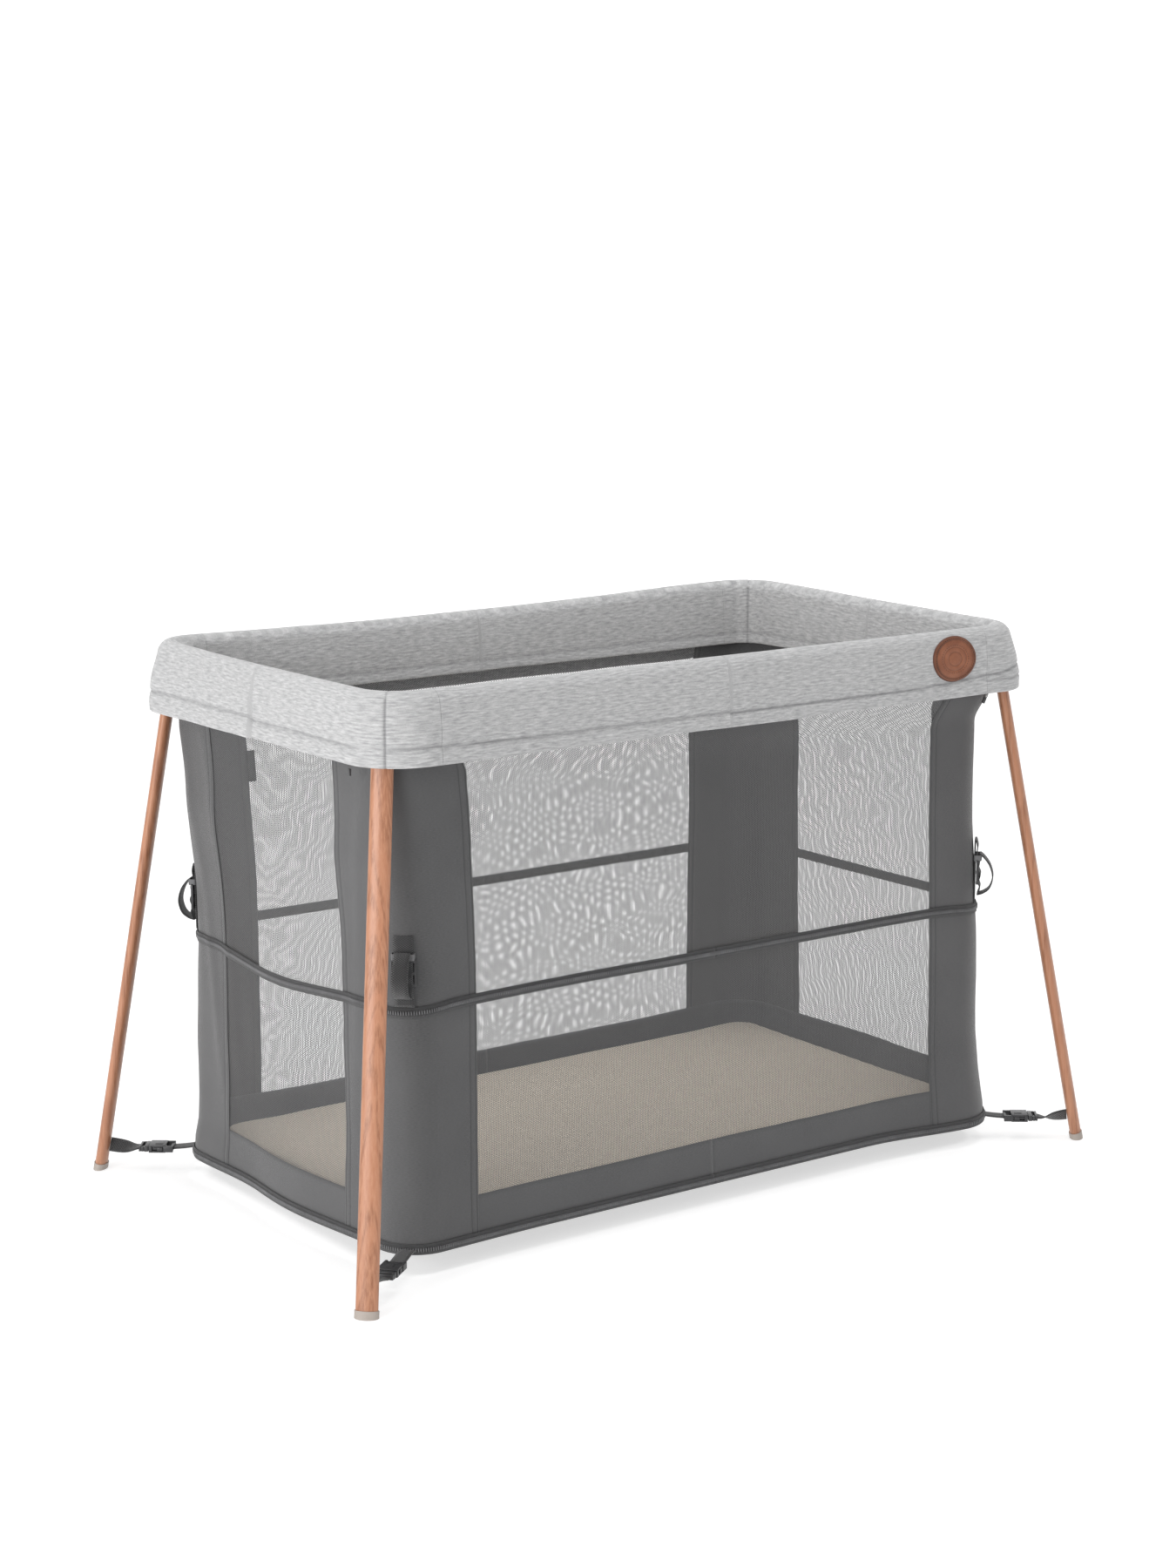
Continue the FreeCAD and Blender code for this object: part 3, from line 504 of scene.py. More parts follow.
# %% Shape one cover point
def seam_rise(side_x, side_y, round_x, angle):
    """How far above the hem the outer seam runs."""
    share = angle / (math.pi / 2)
    near = ease(round_x, 0.30, 0.455)
    if side_x > 0 and side_y < 0:
        return 0.0185 + 0.007 * near + 0.016 * share
    if side_x < 0 and side_y > 0:
        return 0.0185 + 0.003 * near + 0.006 * share
    return 0.0195 + 0.003 * near


def puffed(x, y):
    """How much fuller than its section the padding stands. It is fullest at the far right corner."""
    far = math.hypot(x - 0.50, y - 0.27)
    left = math.hypot(x + 0.50, y - 0.29)
    return 0.002 + 0.009 * bump_at(far, 0.0, 0.30) + 0.004 * bump_at(left, 0.0, 0.15)


def shape_cover(point, seams):
    """Moves one point of the plain sweep to where padded cloth would be, and notes seam shade."""
    x, y, z = point
    out, reach, round_x, angle = around_rim(x, y)
    side_x, side_y = math.copysign(1, x), math.copysign(1, y)
    face = CORNER_R - LEAN * (z - HEM_Z) / (CREST_Z - HEM_Z)
    outer = reach > face - 0.0028 and z < 0.728
    inner_face = CORNER_R - COVER_WIDE + 0.0075 * (z - HEM_Z) / (CREST_Z - HEM_Z)
    inner = reach < inner_face + 0.003 and z < 0.725
    on_end = angle > 0.01 and abs(y) < CENTRE_Y + 0.01
    station = Vector((x * 7.0, y * 7.0, 0.0))
    slow = noise.noise(station + Vector((3.1, 0.7, z * 9.0)))
    fine = noise.noise(station * 4.0 + Vector((0.3, 5.2, z * 40.0)))
    move, lift, shade = 0.0012 * slow + 0.0004 * fine, puffed(x, y) * ease(z, 0.66, 0.73), 0.0
    if side_y > 0 and reach > CORNER_R - 0.012:
        lift -= 0.019 * (1 - ease(z, 0.648, 0.69)) * (1 - ease(abs(x), 0.405, 0.441))
    if z < 0.66:
        lift += 0.0010 * noise.noise(station * 1.6 + Vector((9.0, 2.0, 0.0))) * (1 - ease(z, 0.65, 0.66))
    if outer:
        rise = seam_rise(side_x, side_y, round_x, angle)
        seam_z = HEM_Z + rise
        strength = 1.0
        if side_x < 0 and side_y < 0:
            strength = 1.0 - bump_at(math.degrees(angle), 62, 18)
        groove = bump_at(z, seam_z, 0.0016) * strength
        if side_x > 0 and side_y < 0 and round_x > 0.43:
            lower = bump_at(z, HEM_Z + 0.0185, 0.0015) * ease(round_x, 0.43, 0.45) * 0.7
            groove = max(groove, lower)
        upright = seams.get((side_x, side_y, "outer"), 0.0) * bump_at(math.degrees(angle), 45, 1.3)
        upright *= ease(angle, 0.2, 0.4) * (1 - ease(angle, 1.2, 1.4))
        groove = max(groove, upright)
        above, below = bump_at(z, (seam_z + 0.722) / 2, 0.024), bump_at(z, HEM_Z + rise * 0.5, 0.007)
        full = above * 0.0022 + below * 0.0010
        move += full - 0.0020 * groove - 0.0006 * bump_at(z, seam_z, 0.006)
        if side_x != side_y:
            move += 0.0095 * bump_at(angle, 0.95, 0.75) * ease(angle, 0.0, 0.3) * (1 - ease(z, 0.668, 0.728))
        shade = groove
    elif inner:
        seam_z = 0.6655
        groove = bump_at(z, seam_z, 0.0016)
        upright = seams.get((side_x, side_y, "inner"), 0.0) * bump_at(math.degrees(angle), 45, 3.0)
        groove = max(groove, upright * ease(angle, 0.2, 0.4) * (1 - ease(angle, 1.2, 1.4)))
        move += 0.0016 * groove - bump_at(z, 0.697, 0.02) * 0.0015
        shade = groove * 0.8
    else:
        lift += 0.0006 * slow
        upright = seams.get((side_x, side_y, "outer"), 0.0) * bump_at(math.degrees(angle), 45, 1.3)
        if angle > 0.3 and angle < 1.3 and z > 0.72 and reach > 0.045:
            shade = upright * 0.7
            lift -= 0.0008 * upright
    return Vector((x, y, z)) + out * move + Vector((0, 0, lift)), shade, round_x


# %% Sweep and shape the covers
def close_end(bm, ring):
    """Fills one end of the sweep and keeps its rim crisp."""
    edges = [g for g in ring if isinstance(g, bmesh.types.BMEdge) and g.is_valid]
    bmesh.ops.contextual_create(bm, geom=edges)
    for edge in edges:
        edge.smooth = False


def lay_on(bm):
    """The layer of cloth coordinates, made once."""
    return bm.verts.layers.float_vector.get("lay") or bm.verts.layers.float_vector.new("lay")


def seam_on(bm):
    """The layer that says how deep in a seam a point lies, made once."""
    return bm.verts.layers.float.get("seam") or bm.verts.layers.float.new("seam")


def dress_cover(name, bm, seams):
    """Shapes every point, stores its cloth coordinates and makes the piece."""
    lay, seam = lay_on(bm), seam_on(bm)
    for vert in bm.verts:
        moved, shade, round_x = shape_cover(vert.co, seams)
        _, reach, _, _ = around_rim(vert.co.x, vert.co.y)
        apart_x, apart_y = (2.0 if vert.co.x < 0 else 0.0), (3.0 if vert.co.y < 0 else 0.0)
        vert[lay] = (round_x + apart_x, vert.co.z - reach * 0.7 + apart_y, 0)
        vert[seam] = shade
        vert.co = moved
    return finish_piece(name, bm, knit)


def end_cover(end, side_x):
    """The U-shaped cover over one end rail and its two corners."""
    bm = bmesh.new()
    section = cover_section(bm)
    bmesh.ops.translate(bm, verts=bm.verts, vec=(PIVOT_X + 0.0002, 0, 0))
    straight = CENTRE_X - PIVOT_X - 0.0002
    far = run_on(bm, section, 3, dvec=(straight, 0, 0))
    far = run_on(bm, far, 24, angle=math.pi / 2, centre=(CENTRE_X, -CENTRE_Y, 0))
    far = run_on(bm, far, 88, dvec=(0, 2 * CENTRE_Y, 0))
    far = run_on(bm, far, 24, angle=math.pi / 2, centre=(CENTRE_X, CENTRE_Y, 0))
    far = run_on(bm, far, 3, dvec=(-straight, 0, 0))
    close_end(bm, section)
    close_end(bm, far)
    if side_x < 0:
        bmesh.ops.scale(bm, vec=(-1, 1, 1), verts=bm.verts)
    for side_y in (-1, 1):
        centre = Vector((side_x * CENTRE_X, side_y * CENTRE_Y, 0))
        across = Vector((side_x, -side_y, 0)).normalized()
        near = [g for g in list(bm.verts) + list(bm.edges) + list(bm.faces)
                if all((v.co.x - centre.x) * side_x > 0.005 and (v.co.y - centre.y) * side_y > 0.005
                       for v in (g.verts if hasattr(g, "verts") else [g]))]
        for offset in (-0.0026, -0.0013, 0.0013, 0.0026):
            near = bmesh.ops.bisect_plane(bm, geom=[g for g in near if g.is_valid], dist=1e-5,
                                          plane_co=centre + across * offset, plane_no=across)["geom"]
    corner_seams = {(-1, -1, "outer"): 1.0, (1, 1, "outer"): 1.0, (-1, 1, "inner"): 1.0, (1, 1, "inner"): 1.0}
    cover = dress_cover(f"cover_end_{end}", bm, corner_seams)
    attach(cover, f"end_{end}")
    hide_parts(f"rim_cover_end_{end}")
    return cover


def long_cover(side, side_y):
    """The straight cover over one folding rail, in one piece across its middle hinge."""
    bm = bmesh.new()
    section = cover_section(bm)
    bmesh.ops.translate(bm, verts=bm.verts, vec=(-PIVOT_X + 0.0002, 0, 0))
    far = run_on(bm, section, 168, dvec=(2 * PIVOT_X - 0.0004, 0, 0))
    close_end(bm, section)
    close_end(bm, far)
    if side_y > 0:
        bmesh.ops.scale(bm, vec=(1, -1, 1), verts=bm.verts)
    cover = dress_cover(f"cover_{side}", bm, {})
    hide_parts(f"rim_cover_{side}_left", f"rim_cover_{side}_right")
    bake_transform(cover)
    return cover


for end, side_x in (("left", -1), ("right", 1)):
    end_cover(end, side_x)
for side, side_y in (("front", -1), ("back", 1)):
    long_cover(side, side_y)
print("covers:", {n: len(p.data.polygons) for n, p in pieces.items() if n.startswith("cover")})

# %% [markdown]
# ## The walls' plan
# Each wall is a flat strip of cloth that hangs from the rim and goes round the body: along the front, round
# a corner, across the end and back. So each sheet starts as a flat grid, as it was cut, and is then carried
# round. The distance along the strip and the height are the sheet's own coordinates, and they stay with it.

# %% Plan of the walls
WALL_X, WALL_Y, WALL_R = 0.478, 0.270, 0.045
STRAIGHT, ARC, ACROSS = WALL_X - WALL_R, WALL_R * math.pi / 2, 2 * (WALL_Y - WALL_R)
HALF_ROUND = 2 * STRAIGHT + 2 * ARC + ACROSS
WINDOW_X, WINDOW_Y = 0.375, 0.150        # half widths of the mesh windows
END_MIDDLE = STRAIGHT + ARC + ACROSS / 2
TOP_X, TOP_Y, TOP_R = 0.4985, 0.2795, 0.0435     # the walls' plan where they meet the rim, inside its padding
# How far each corner's cloth stands out, by height: (height, distance), for each (end, side)
FULL = {(-1, 1): ((0.02, 0.019), (0.054, 0.017), (0.08, 0.012), (0.178, 0.008), (0.326, 0.004),
                  (0.42, 0.004)),
        (1, -1): ((0.02, 0.022), (0.054, 0.020), (0.106, 0.013), (0.158, 0.008), (0.234, 0.007),
                  (0.31, 0.005), (0.46, -0.002)),
        (-1, -1): ((0.02, 0.004), (0.33, 0.004)), (1, 1): ((0.02, 0.010), (0.30, 0.004), (0.46, 0.0))}


def plan_point(along, half_x, half_y, radius):
    """Point and outward direction on a rounded rectangle. Each stretch keeps its share on any size."""
    straight, across = half_x - radius, 2 * (half_y - radius)
    if along < STRAIGHT:
        return (along / STRAIGHT * straight, -half_y), (0.0, -1.0)
    if along < STRAIGHT + ARC:
        angle = (along - STRAIGHT) / WALL_R
        out = (math.sin(angle), -math.cos(angle))
        return (straight + radius * out[0], radius - half_y + radius * out[1]), out
    if along < STRAIGHT + ARC + ACROSS:
        return (half_x, (along - END_MIDDLE) / ACROSS * across), (1.0, 0.0)
    if along < STRAIGHT + 2 * ARC + ACROSS:
        angle = (along - STRAIGHT - ARC - ACROSS) / WALL_R
        out = (math.cos(angle), math.sin(angle))
        return (straight + radius * out[0], half_y - radius + radius * out[1]), out
    return ((HALF_ROUND - along) / STRAIGHT * straight, half_y), (0.0, 1.0)


def between(table, z):
    """Reads a height table, in straight steps between its rows."""
    if z <= table[0][0]:
        return table[0][1]
    for (z0, v0), (z1, v1) in zip(table, table[1:]):
        if z < z1:
            return v0 + (v1 - v0) * (z - z0) / (z1 - z0)
    return table[-1][1]


def to_corner(along):
    """Distance along the wall to the nearest corner's middle."""
    return min(abs(along - STRAIGHT - ARC / 2), abs(along - HALF_ROUND + STRAIGHT + ARC / 2))


def slack(along, z, side_x):
    """How far the hanging cloth stands out from its plan: full corners, soft waves and a few creases."""
    cornered = 1 - ease(to_corner(along), 0.02, 0.20)
    plan, _ = plan_point(along, WALL_X, WALL_Y, WALL_R)
    spot = Vector((side_x * plan[0] * 5.0, plan[1] * 5.0, z * 4.0))
    waves = 0.0022 * noise.noise(spot) + 0.0009 * noise.noise(spot * 4.0)
    crease = 0.0
    if side_x < 0:
        for start, lean, size in ((1.02, 0.10, 0.0028), (0.965, 0.14, 0.0022), (0.90, 0.12, 0.0018),
                                  (0.52, -0.09, 0.0016)):
            crease += size * bump_at(along, start - lean * (0.62 - z), 0.012) * ease(z, 0.10, 0.2)
    hold = ease(z, 0.03, 0.07) * (1 - ease(z, 0.62, 0.65))
    corner = (side_x, -1 if along < END_MIDDLE else 1)
    bow = 0.022 * bump_at(along, END_MIDDLE, 0.17) * (1 - 0.6 * ease(z, 0.50, 0.66))
    bow += 0.006 * bump_at(along, END_MIDDLE - 0.08, 0.12) * (1 - ease(z, 0.05, 0.2)) if side_x < 0 else 0.0
    return between(FULL[corner], z) * cornered * (1 - ease(z, 0.5, 0.64)) + bow + (waves + crease) * hold


def on_wall(along, z, side_x, proud=0.0):
    """The place in space of a point of the walls, and the outward direction there."""
    low, out = plan_point(along, WALL_X, WALL_Y, WALL_R)
    top, _ = plan_point(along, TOP_X, TOP_Y, TOP_R)
    on_side = along < END_MIDDLE - ACROSS / 2 or along > END_MIDDLE + ACROSS / 2
    at_end = 1 - ease(to_corner(along), 0.0, 0.25) if on_side else 1.0
    flare = ease(z, 0.60, 0.652)
    if side_x < 0:
        flare = max(flare, (0.55 * ease(z, 0.38, 0.56) + 0.45 * ease(z, 0.54, 0.66)) * at_end)
    point = Vector((low[0] + (top[0] - low[0]) * flare, low[1] + (top[1] - low[1]) * flare, 0))
    point.x *= side_x
    out = Vector((side_x * out[0], out[1], 0))
    return point + out * (slack(along, z, side_x) + proud) + Vector((0, 0, z)), out


print("half way round the walls:", round(HALF_ROUND, 4), "m")

# %% [markdown]
# ## Sheets for the walls
# A grid gives the flat cut. Each of its points is then carried to its place on the walls, and its flat
# place is stored for the weave. A hem or a line of stitches can be asked for as a groove near an edge.

# %% Hang a sheet
def hang_sheet(name, side_x, start, stop, low, high, finish, step=0.008, proud=0.0, grooves=()):
    """One flat strip of cloth, cut from start to stop along the wall and from low to high, and hung."""
    bm = bmesh.new()
    wide, tall = stop - start, high - low
    bmesh.ops.create_grid(bm, x_segments=max(2, round(wide / step)), y_segments=max(2, round(tall / step)),
                          size=0.5)
    lay, seam = lay_on(bm), seam_on(bm)
    for at in grooves:
        for offset in (-0.0012, 0.0, 0.0012):
            place = Vector(((at + offset - start) / wide - 0.5, 0, 0))
            if -0.499 < place.x < 0.499:
                bmesh.ops.bisect_plane(bm, geom=list(bm.verts) + list(bm.edges) + list(bm.faces), dist=1e-7,
                                       plane_co=place, plane_no=(1, 0, 0))
    for vert in bm.verts:
        along = start + (vert.co.x + 0.5) * wide
        z = low + (vert.co.y + 0.5) * tall
        pulled = max([bump_at(along, at, 0.0009) for at in grooves], default=0.0)
        vert[lay] = (along, z, 0)
        vert[seam] = pulled
        vert.co = on_wall(along, z, side_x, proud - 0.0005 * pulled)[0]
    bmesh.ops.recalc_face_normals(bm, faces=bm.faces)
    middle = list(bm.faces)[len(bm.faces) // 2]
    spot = middle.calc_center_median()
    if middle.normal.dot(Vector((spot.x * 0.6, spot.y, 0))) < 0:
        bmesh.ops.reverse_faces(bm, faces=bm.faces)
    return finish_piece(name, bm, finish, outwards=False)


def fold_with(piece, end):
    """Soft pieces of one end ride on it."""
    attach(piece, f"end_{end}")
    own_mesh(piece)
    return piece


# %% [markdown]
# ## Corner panels and windows
# Dark polyester wraps each corner from window to window. Its edges are folded under and stitched twice,
# which shows as two fine lines. The mesh windows lie between the panels and run up under the rim.

# %% Corner panels
WALL_TOP, BAND_TOP, OVERLAP = 0.661, 0.088, 0.0003
for end, side_x in (("left", -1), ("right", 1)):
    for side, start, stop in (("front", WINDOW_X, END_MIDDLE - WINDOW_Y),
                              ("back", END_MIDDLE + WINDOW_Y, HALF_ROUND - WINDOW_X)):
        lines = (start + 0.0022, start + 0.0105, stop - 0.0022, stop - 0.0105)
        panel = hang_sheet(f"panel_{side}_{end}", side_x, start, stop, 0.036, WALL_TOP, polyester, 0.006,
                           proud=0.0012, grooves=lines)
        thicken(panel, 0.0008)
        if side == "front":
            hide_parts(f"corner_panels_{end}")
        fold_with(panel, end)
print("panels made")

# %% Mesh windows
for end, side_x in (("left", -1), ("right", 1)):
    for side, start, stop in (("front", -OVERLAP, WINDOW_X + 0.006),
                              ("end", END_MIDDLE - WINDOW_Y - 0.006, END_MIDDLE + WINDOW_Y + 0.006),
                              ("back", HALF_ROUND - WINDOW_X - 0.006, HALF_ROUND + OVERLAP)):
        window = hang_sheet(f"window_{side}_{end}", side_x, start, stop, 0.060, WALL_TOP, netting, 0.010)
        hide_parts(f"mesh_end_{end}" if side == "end" else f"mesh_long_{end}")
        fold_with(window, end)
print("windows made")

# %% [markdown]
# ## Base
# A band of the same polyester closes the bottom of the walls, and a floor sheet joins it under the
# mattress. A cord-filled binding covers their seam, and the lower zip runs just above it.

# %% Base band and floor
def floor_sheet(end, side_x):
    """Half of the floor, with rounded outer corners and rows to fold by."""
    bm = bmesh.new()
    bmesh.ops.create_grid(bm, x_segments=1, y_segments=1, size=0.5)
    for vert in bm.verts:
        vert.co = Vector((side_x * (vert.co.x + 0.5) * (WALL_X - 0.001),
                          vert.co.y * 2 * (WALL_Y - 0.001), 0.0275))
    rounded = [v for v in bm.verts if abs(v.co.x) > 0.1]
    bmesh.ops.bevel(bm, geom=rounded, offset=WALL_R, offset_type="OFFSET", segments=8, profile=0.5,
                    affect="VERTICES", material=-1)
    for place in range(1, 24):
        bmesh.ops.bisect_plane(bm, geom=list(bm.verts) + list(bm.edges) + list(bm.faces), dist=1e-6,
                               plane_co=(side_x * place * 0.02, 0, 0), plane_no=(1, 0, 0))
    lay = lay_on(bm)
    for vert in bm.verts:
        vert[lay] = (vert.co.x, vert.co.y, 0)
    return thicken(finish_piece(f"base_floor_{end}", bm, polyester), 0.0015)


for end, side_x in (("left", -1), ("right", 1)):
    band = hang_sheet(f"base_band_{end}", side_x, -OVERLAP, HALF_ROUND + OVERLAP, 0.027, BAND_TOP, polyester,
                      0.006, proud=0.0004)
    thicken(band, 0.0012)
    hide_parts(f"base_tray_{end}")
    fold_with(band, end)
    floor = floor_sheet(end, side_x)
    fold_with(floor, end)
print("base made")

# %% [markdown]
# ## Zips
# Two zips go all the way round: one at about mid height, where the upper and lower walls part, and one in
# the base. Each is a woven tape with a nylon coil down its middle. The tape is one more hung strip. The
# coil is hundreds of small links, so each link is only a scaled cube, set across the tape at an even pitch.

# %% Zip tapes and coils
MIDDLE_ZIP_Z, BASE_ZIP_Z = 0.3425, 0.0335
LINK_LONG, LINK_DEEP, LINK_WIDE = 0.0015, 0.0016, 0.0046


def middle_height(along, side_x):
    """The middle zip sags a little between the corners, most across the ends."""
    end_sag = bump_at(along, END_MIDDLE, 0.16) * (0.013 if side_x < 0 else 0.006)
    corner_dip = 0.005 * (bump_at(along, STRAIGHT + ARC / 2, 0.05)
                          + bump_at(along, HALF_ROUND - STRAIGHT - ARC / 2, 0.05))
    return MIDDLE_ZIP_Z - end_sag - corner_dip


def base_height(along, side_x):
    """The base zip runs level."""
    return BASE_ZIP_Z


def zip_tape(name, side_x, height, half_width, proud):
    """A hung strip that follows the zip's height, a little fuller along its middle."""
    tape = hang_sheet(name, side_x, -OVERLAP, HALF_ROUND + OVERLAP, -half_width, half_width, zip_cloth, 0.004)
    lay = tape.data.attributes["lay"].data
    for vert, laid in zip(tape.data.vertices, lay):
        along, off = laid.vector[0], laid.vector[1]
        fuller = proud + 0.0005 * math.cos(off / half_width * 1.5)
        vert.co = on_wall(along, height(along, side_x) + off, side_x, fuller)[0]
    return thicken(tape, 0.0009)


def zip_coil_links(name, side_x, height, proud, pitch=0.0026):
    """The links of one zip, set across the tape at an even pitch."""
    bm = bmesh.new()
    count = int(HALF_ROUND / pitch)
    for i in range(count):
        along = (i + 0.5) * pitch
        place, out = on_wall(along, height(along, side_x), side_x, proud)
        across = out.cross(Vector((0, 0, 1)))
        axes = Matrix((across * LINK_LONG, out * LINK_DEEP, Vector((0, 0, LINK_WIDE)))).transposed().to_4x4()
        bmesh.ops.create_cube(bm, size=1.0, matrix=Matrix.Translation(place) @ axes)
    return finish_piece(name, bm, zip_coil)


for end, side_x in (("left", -1), ("right", 1)):
    tape = zip_tape(f"middle_tape_{end}", side_x, middle_height, 0.0068, 0.0028)
    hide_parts(f"middle_zip_{end}")
    coil = zip_coil_links(f"middle_coil_{end}", side_x, middle_height, 0.0042)
    low_tape = zip_tape(f"base_tape_{end}", side_x, base_height, 0.0065, 0.0030)
    low_coil = zip_coil_links(f"base_coil_{end}", side_x, base_height, 0.0045)
    for piece in (tape, coil, low_tape, low_coil):
        fold_with(piece, end)
print("zip links:", sum(len(p.data.polygons) // 6 for n, p in pieces.items() if "coil" in n))

# %% [markdown]
# ## Straps at the corners
# A folded webbing strap hangs at mid height on each corner, held by a grey elastic keeper and a plastic
# ladder lock, with a loop standing out below. A strap is a flat grid bent along a path: where its centre
# line goes and which way the strap faces there.

# %% Bend a strap along a path
def corner_frame(side_x, side_y):
    """A frame on the corner's diagonal: X out of the corner, Y across, Z up."""
    reach = WALL_R * math.sqrt(0.5)
    place = Vector((side_x * (WALL_X - WALL_R + reach), side_y * (WALL_Y - WALL_R + reach), 0))
    out = Vector((side_x, side_y, 0)).normalized()
    flare = slack(STRAIGHT + ARC / 2, 0.39, side_x)
    up_axis = Vector((0, 0, 1))
    axes = Matrix((out, up_axis.cross(out), up_axis)).transposed().to_4x4()
    return Matrix.Translation(place + out * flare) @ axes


def bend_strap(bm, path, length, width, place, pieces_along=40, twist=lambda t: 0.0):
    """Adds a strap whose centre line is path(0..1), which gives a point and the direction the strap faces."""
    lay = lay_on(bm)
    made = bmesh.ops.create_grid(bm, x_segments=pieces_along, y_segments=4, size=0.5)["verts"]
    for vert in made:
        t, off = vert.co.x + 0.5, vert.co.y * width
        vert[lay] = (t * length, off, 0)
        centre, face = path(t)
        ahead_point, _ = path(min(t + 0.01, 1.0))
        back_point, _ = path(max(t - 0.01, 0.0))
        run = (ahead_point - back_point).normalized()
        side = run.cross(face).normalized()
        side = Matrix.Rotation(twist(t), 3, run) @ side
        vert.co = place @ (centre + side * off)


def smooth_path(points):
    """A smooth path through points, as a strap would bend: a Catmull-Rom curve."""
    points = [Vector(p) for p in points]

    def at(t):
        place = t * (len(points) - 1)
        i = min(int(place), len(points) - 2)
        f = place - i
        p0, p1, p2, p3 = points[max(i - 1, 0)], points[i], points[i + 1], points[min(i + 2, len(points) - 1)]
        return 0.5 * ((2 * p1) + (p2 - p0) * f + (2 * p0 - 5 * p1 + 4 * p2 - p3) * f * f
                      + (3 * p1 - p0 - 3 * p2 + p3) * f ** 3)
    return at


def path_facing(points):
    """A path in the corner's X-Z plane. A strap on it faces square to its run."""
    line = smooth_path(points)

    def at(t):
        run = line(min(t + 0.005, 1)) - line(max(t - 0.005, 0))
        return line(t), Vector((run.z, 0, -run.x)).normalized()
    return at


print("strap helpers ready")

# %% Corner straps, keepers and ladder locks
STRAP_W = 0.025


def ring_bar(bm, place, half_x, half_y, low, high, thick, corner=0.003):
    """A closed elastic band with rounded corners, standing round Z and open through the middle."""
    loops = []
    for inset in (0.0, thick):
        reach_x, reach_y, bend = half_x - inset, half_y - inset, corner - inset
        plan = []
        for sign_x, sign_y, start in ((1, 1, 0), (-1, 1, 90), (-1, -1, 180), (1, -1, 270)):
            for step in range(5):
                turn = math.radians(start + 22.5 * step)
                plan.append((sign_x * (reach_x - bend) + bend * math.cos(turn) + half_x + 0.001,
                             sign_y * (reach_y - bend) + bend * math.sin(turn)))
        for height in (low, high):
            loops.append([bm.verts.new(place @ Vector((x, y, height))) for x, y in plan])
    outer_low, outer_high, inner_low, inner_high = loops
    for first, second in ((outer_low, outer_high), (outer_high, inner_high),
                          (inner_high, inner_low), (inner_low, outer_low)):
        for index in range(len(first)):
            after = (index + 1) % len(first)
            bm.faces.new((first[index], first[after], second[after], second[index]))


def ladder_lock(bm, place):
    """A plastic frame of three bars with two slots for the strap."""
    for height in (0.3735, 0.3885, 0.4035):
        made = bmesh.ops.create_cube(bm, size=1.0)["verts"]
        bmesh.ops.scale(bm, vec=(0.0042, 0.031, 0.0045), verts=made)
        bmesh.ops.translate(bm, vec=(0.0065, 0, height), verts=made)
        bmesh.ops.transform(bm, matrix=place, verts=made)
    for across in (-0.0145, 0.0145):
        made = bmesh.ops.create_cube(bm, size=1.0)["verts"]
        bmesh.ops.scale(bm, vec=(0.0036, 0.0032, 0.0345), verts=made)
        bmesh.ops.translate(bm, vec=(0.0065, across, 0.3885), verts=made)
        bmesh.ops.transform(bm, matrix=place, verts=made)


hanging = path_facing([(0.0022, 0, 0.344), (0.0024, 0, 0.365), (0.0026, 0, 0.39), (0.0022, 0, 0.412),
                       (0.0026, 0, 0.434)])
folded_back = path_facing([(0.0040, 0, 0.434), (0.0062, 0, 0.424), (0.0050, 0, 0.412), (0.0088, 0, 0.402),
                           (0.0074, 0, 0.392), (0.0102, 0, 0.384), (0.0078, 0, 0.374), (0.0098, 0, 0.366),
                           (0.0070, 0, 0.357)])
loop_path = path_facing([(0.0095, 0, 0.4135), (0.0155, 0, 0.4085), (0.0235, 0, 0.397), (0.0275, 0, 0.381),
                         (0.0235, 0, 0.366), (0.0150, 0, 0.3585), (0.0060, 0, 0.3555)])
for end, side_x in (("left", -1), ("right", 1)):
    straps, loops_bm, keepers, locks = bmesh.new(), bmesh.new(), bmesh.new(), bmesh.new()
    for side_y in (-1, 1):
        place = corner_frame(side_x, side_y)
        bend_strap(straps, hanging, 0.09, STRAP_W, place, 18)
        bend_strap(straps, folded_back, 0.085, STRAP_W * 0.98, place, 48)
        bend_strap(loops_bm, loop_path, 0.08, STRAP_W * 0.8, place, 36)
        ring_bar(keepers, place, 0.0054, 0.0146, 0.4045, 0.4125, 0.0013)
        ladder_lock(locks, place)
    strap = thicken(finish_piece(f"corner_straps_{end}", straps, webbing, outwards=False), 0.0016)
    loop = thicken(finish_piece(f"strap_loops_{end}", loops_bm, webbing, outwards=False), 0.0016)
    keeper = soften(finish_piece(f"strap_keepers_{end}", keepers, elastic), 0.0003, 2)
    lock = soften(finish_piece(f"ladder_locks_{end}", locks, buckle_acetal), 0.0009, 2)
    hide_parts(f"webbing_{end}")
    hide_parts(f"ladder_locks_{end}")
    for piece, slot in ((strap, "webbing"), (loop, "webbing"), (keeper, "webbing"), (lock, "buckle_plastic")):
        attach(piece, f"end_{end}")
print("corner straps made")

# %% [markdown]
# ## Foot straps and their buckles
# A short strap ties each bottom corner to its leg, with a side-release buckle in its middle. The female
# half stays with the body and the male half, with its two springy arms, slides out. Both are built flat
# along +X from cubes that are scaled and bevelled, and then set on the strap's line.

# %% Line of a foot strap
FOOT_X, FOOT_Y = 0.589, 0.354
STRAP_RISE = 0.031


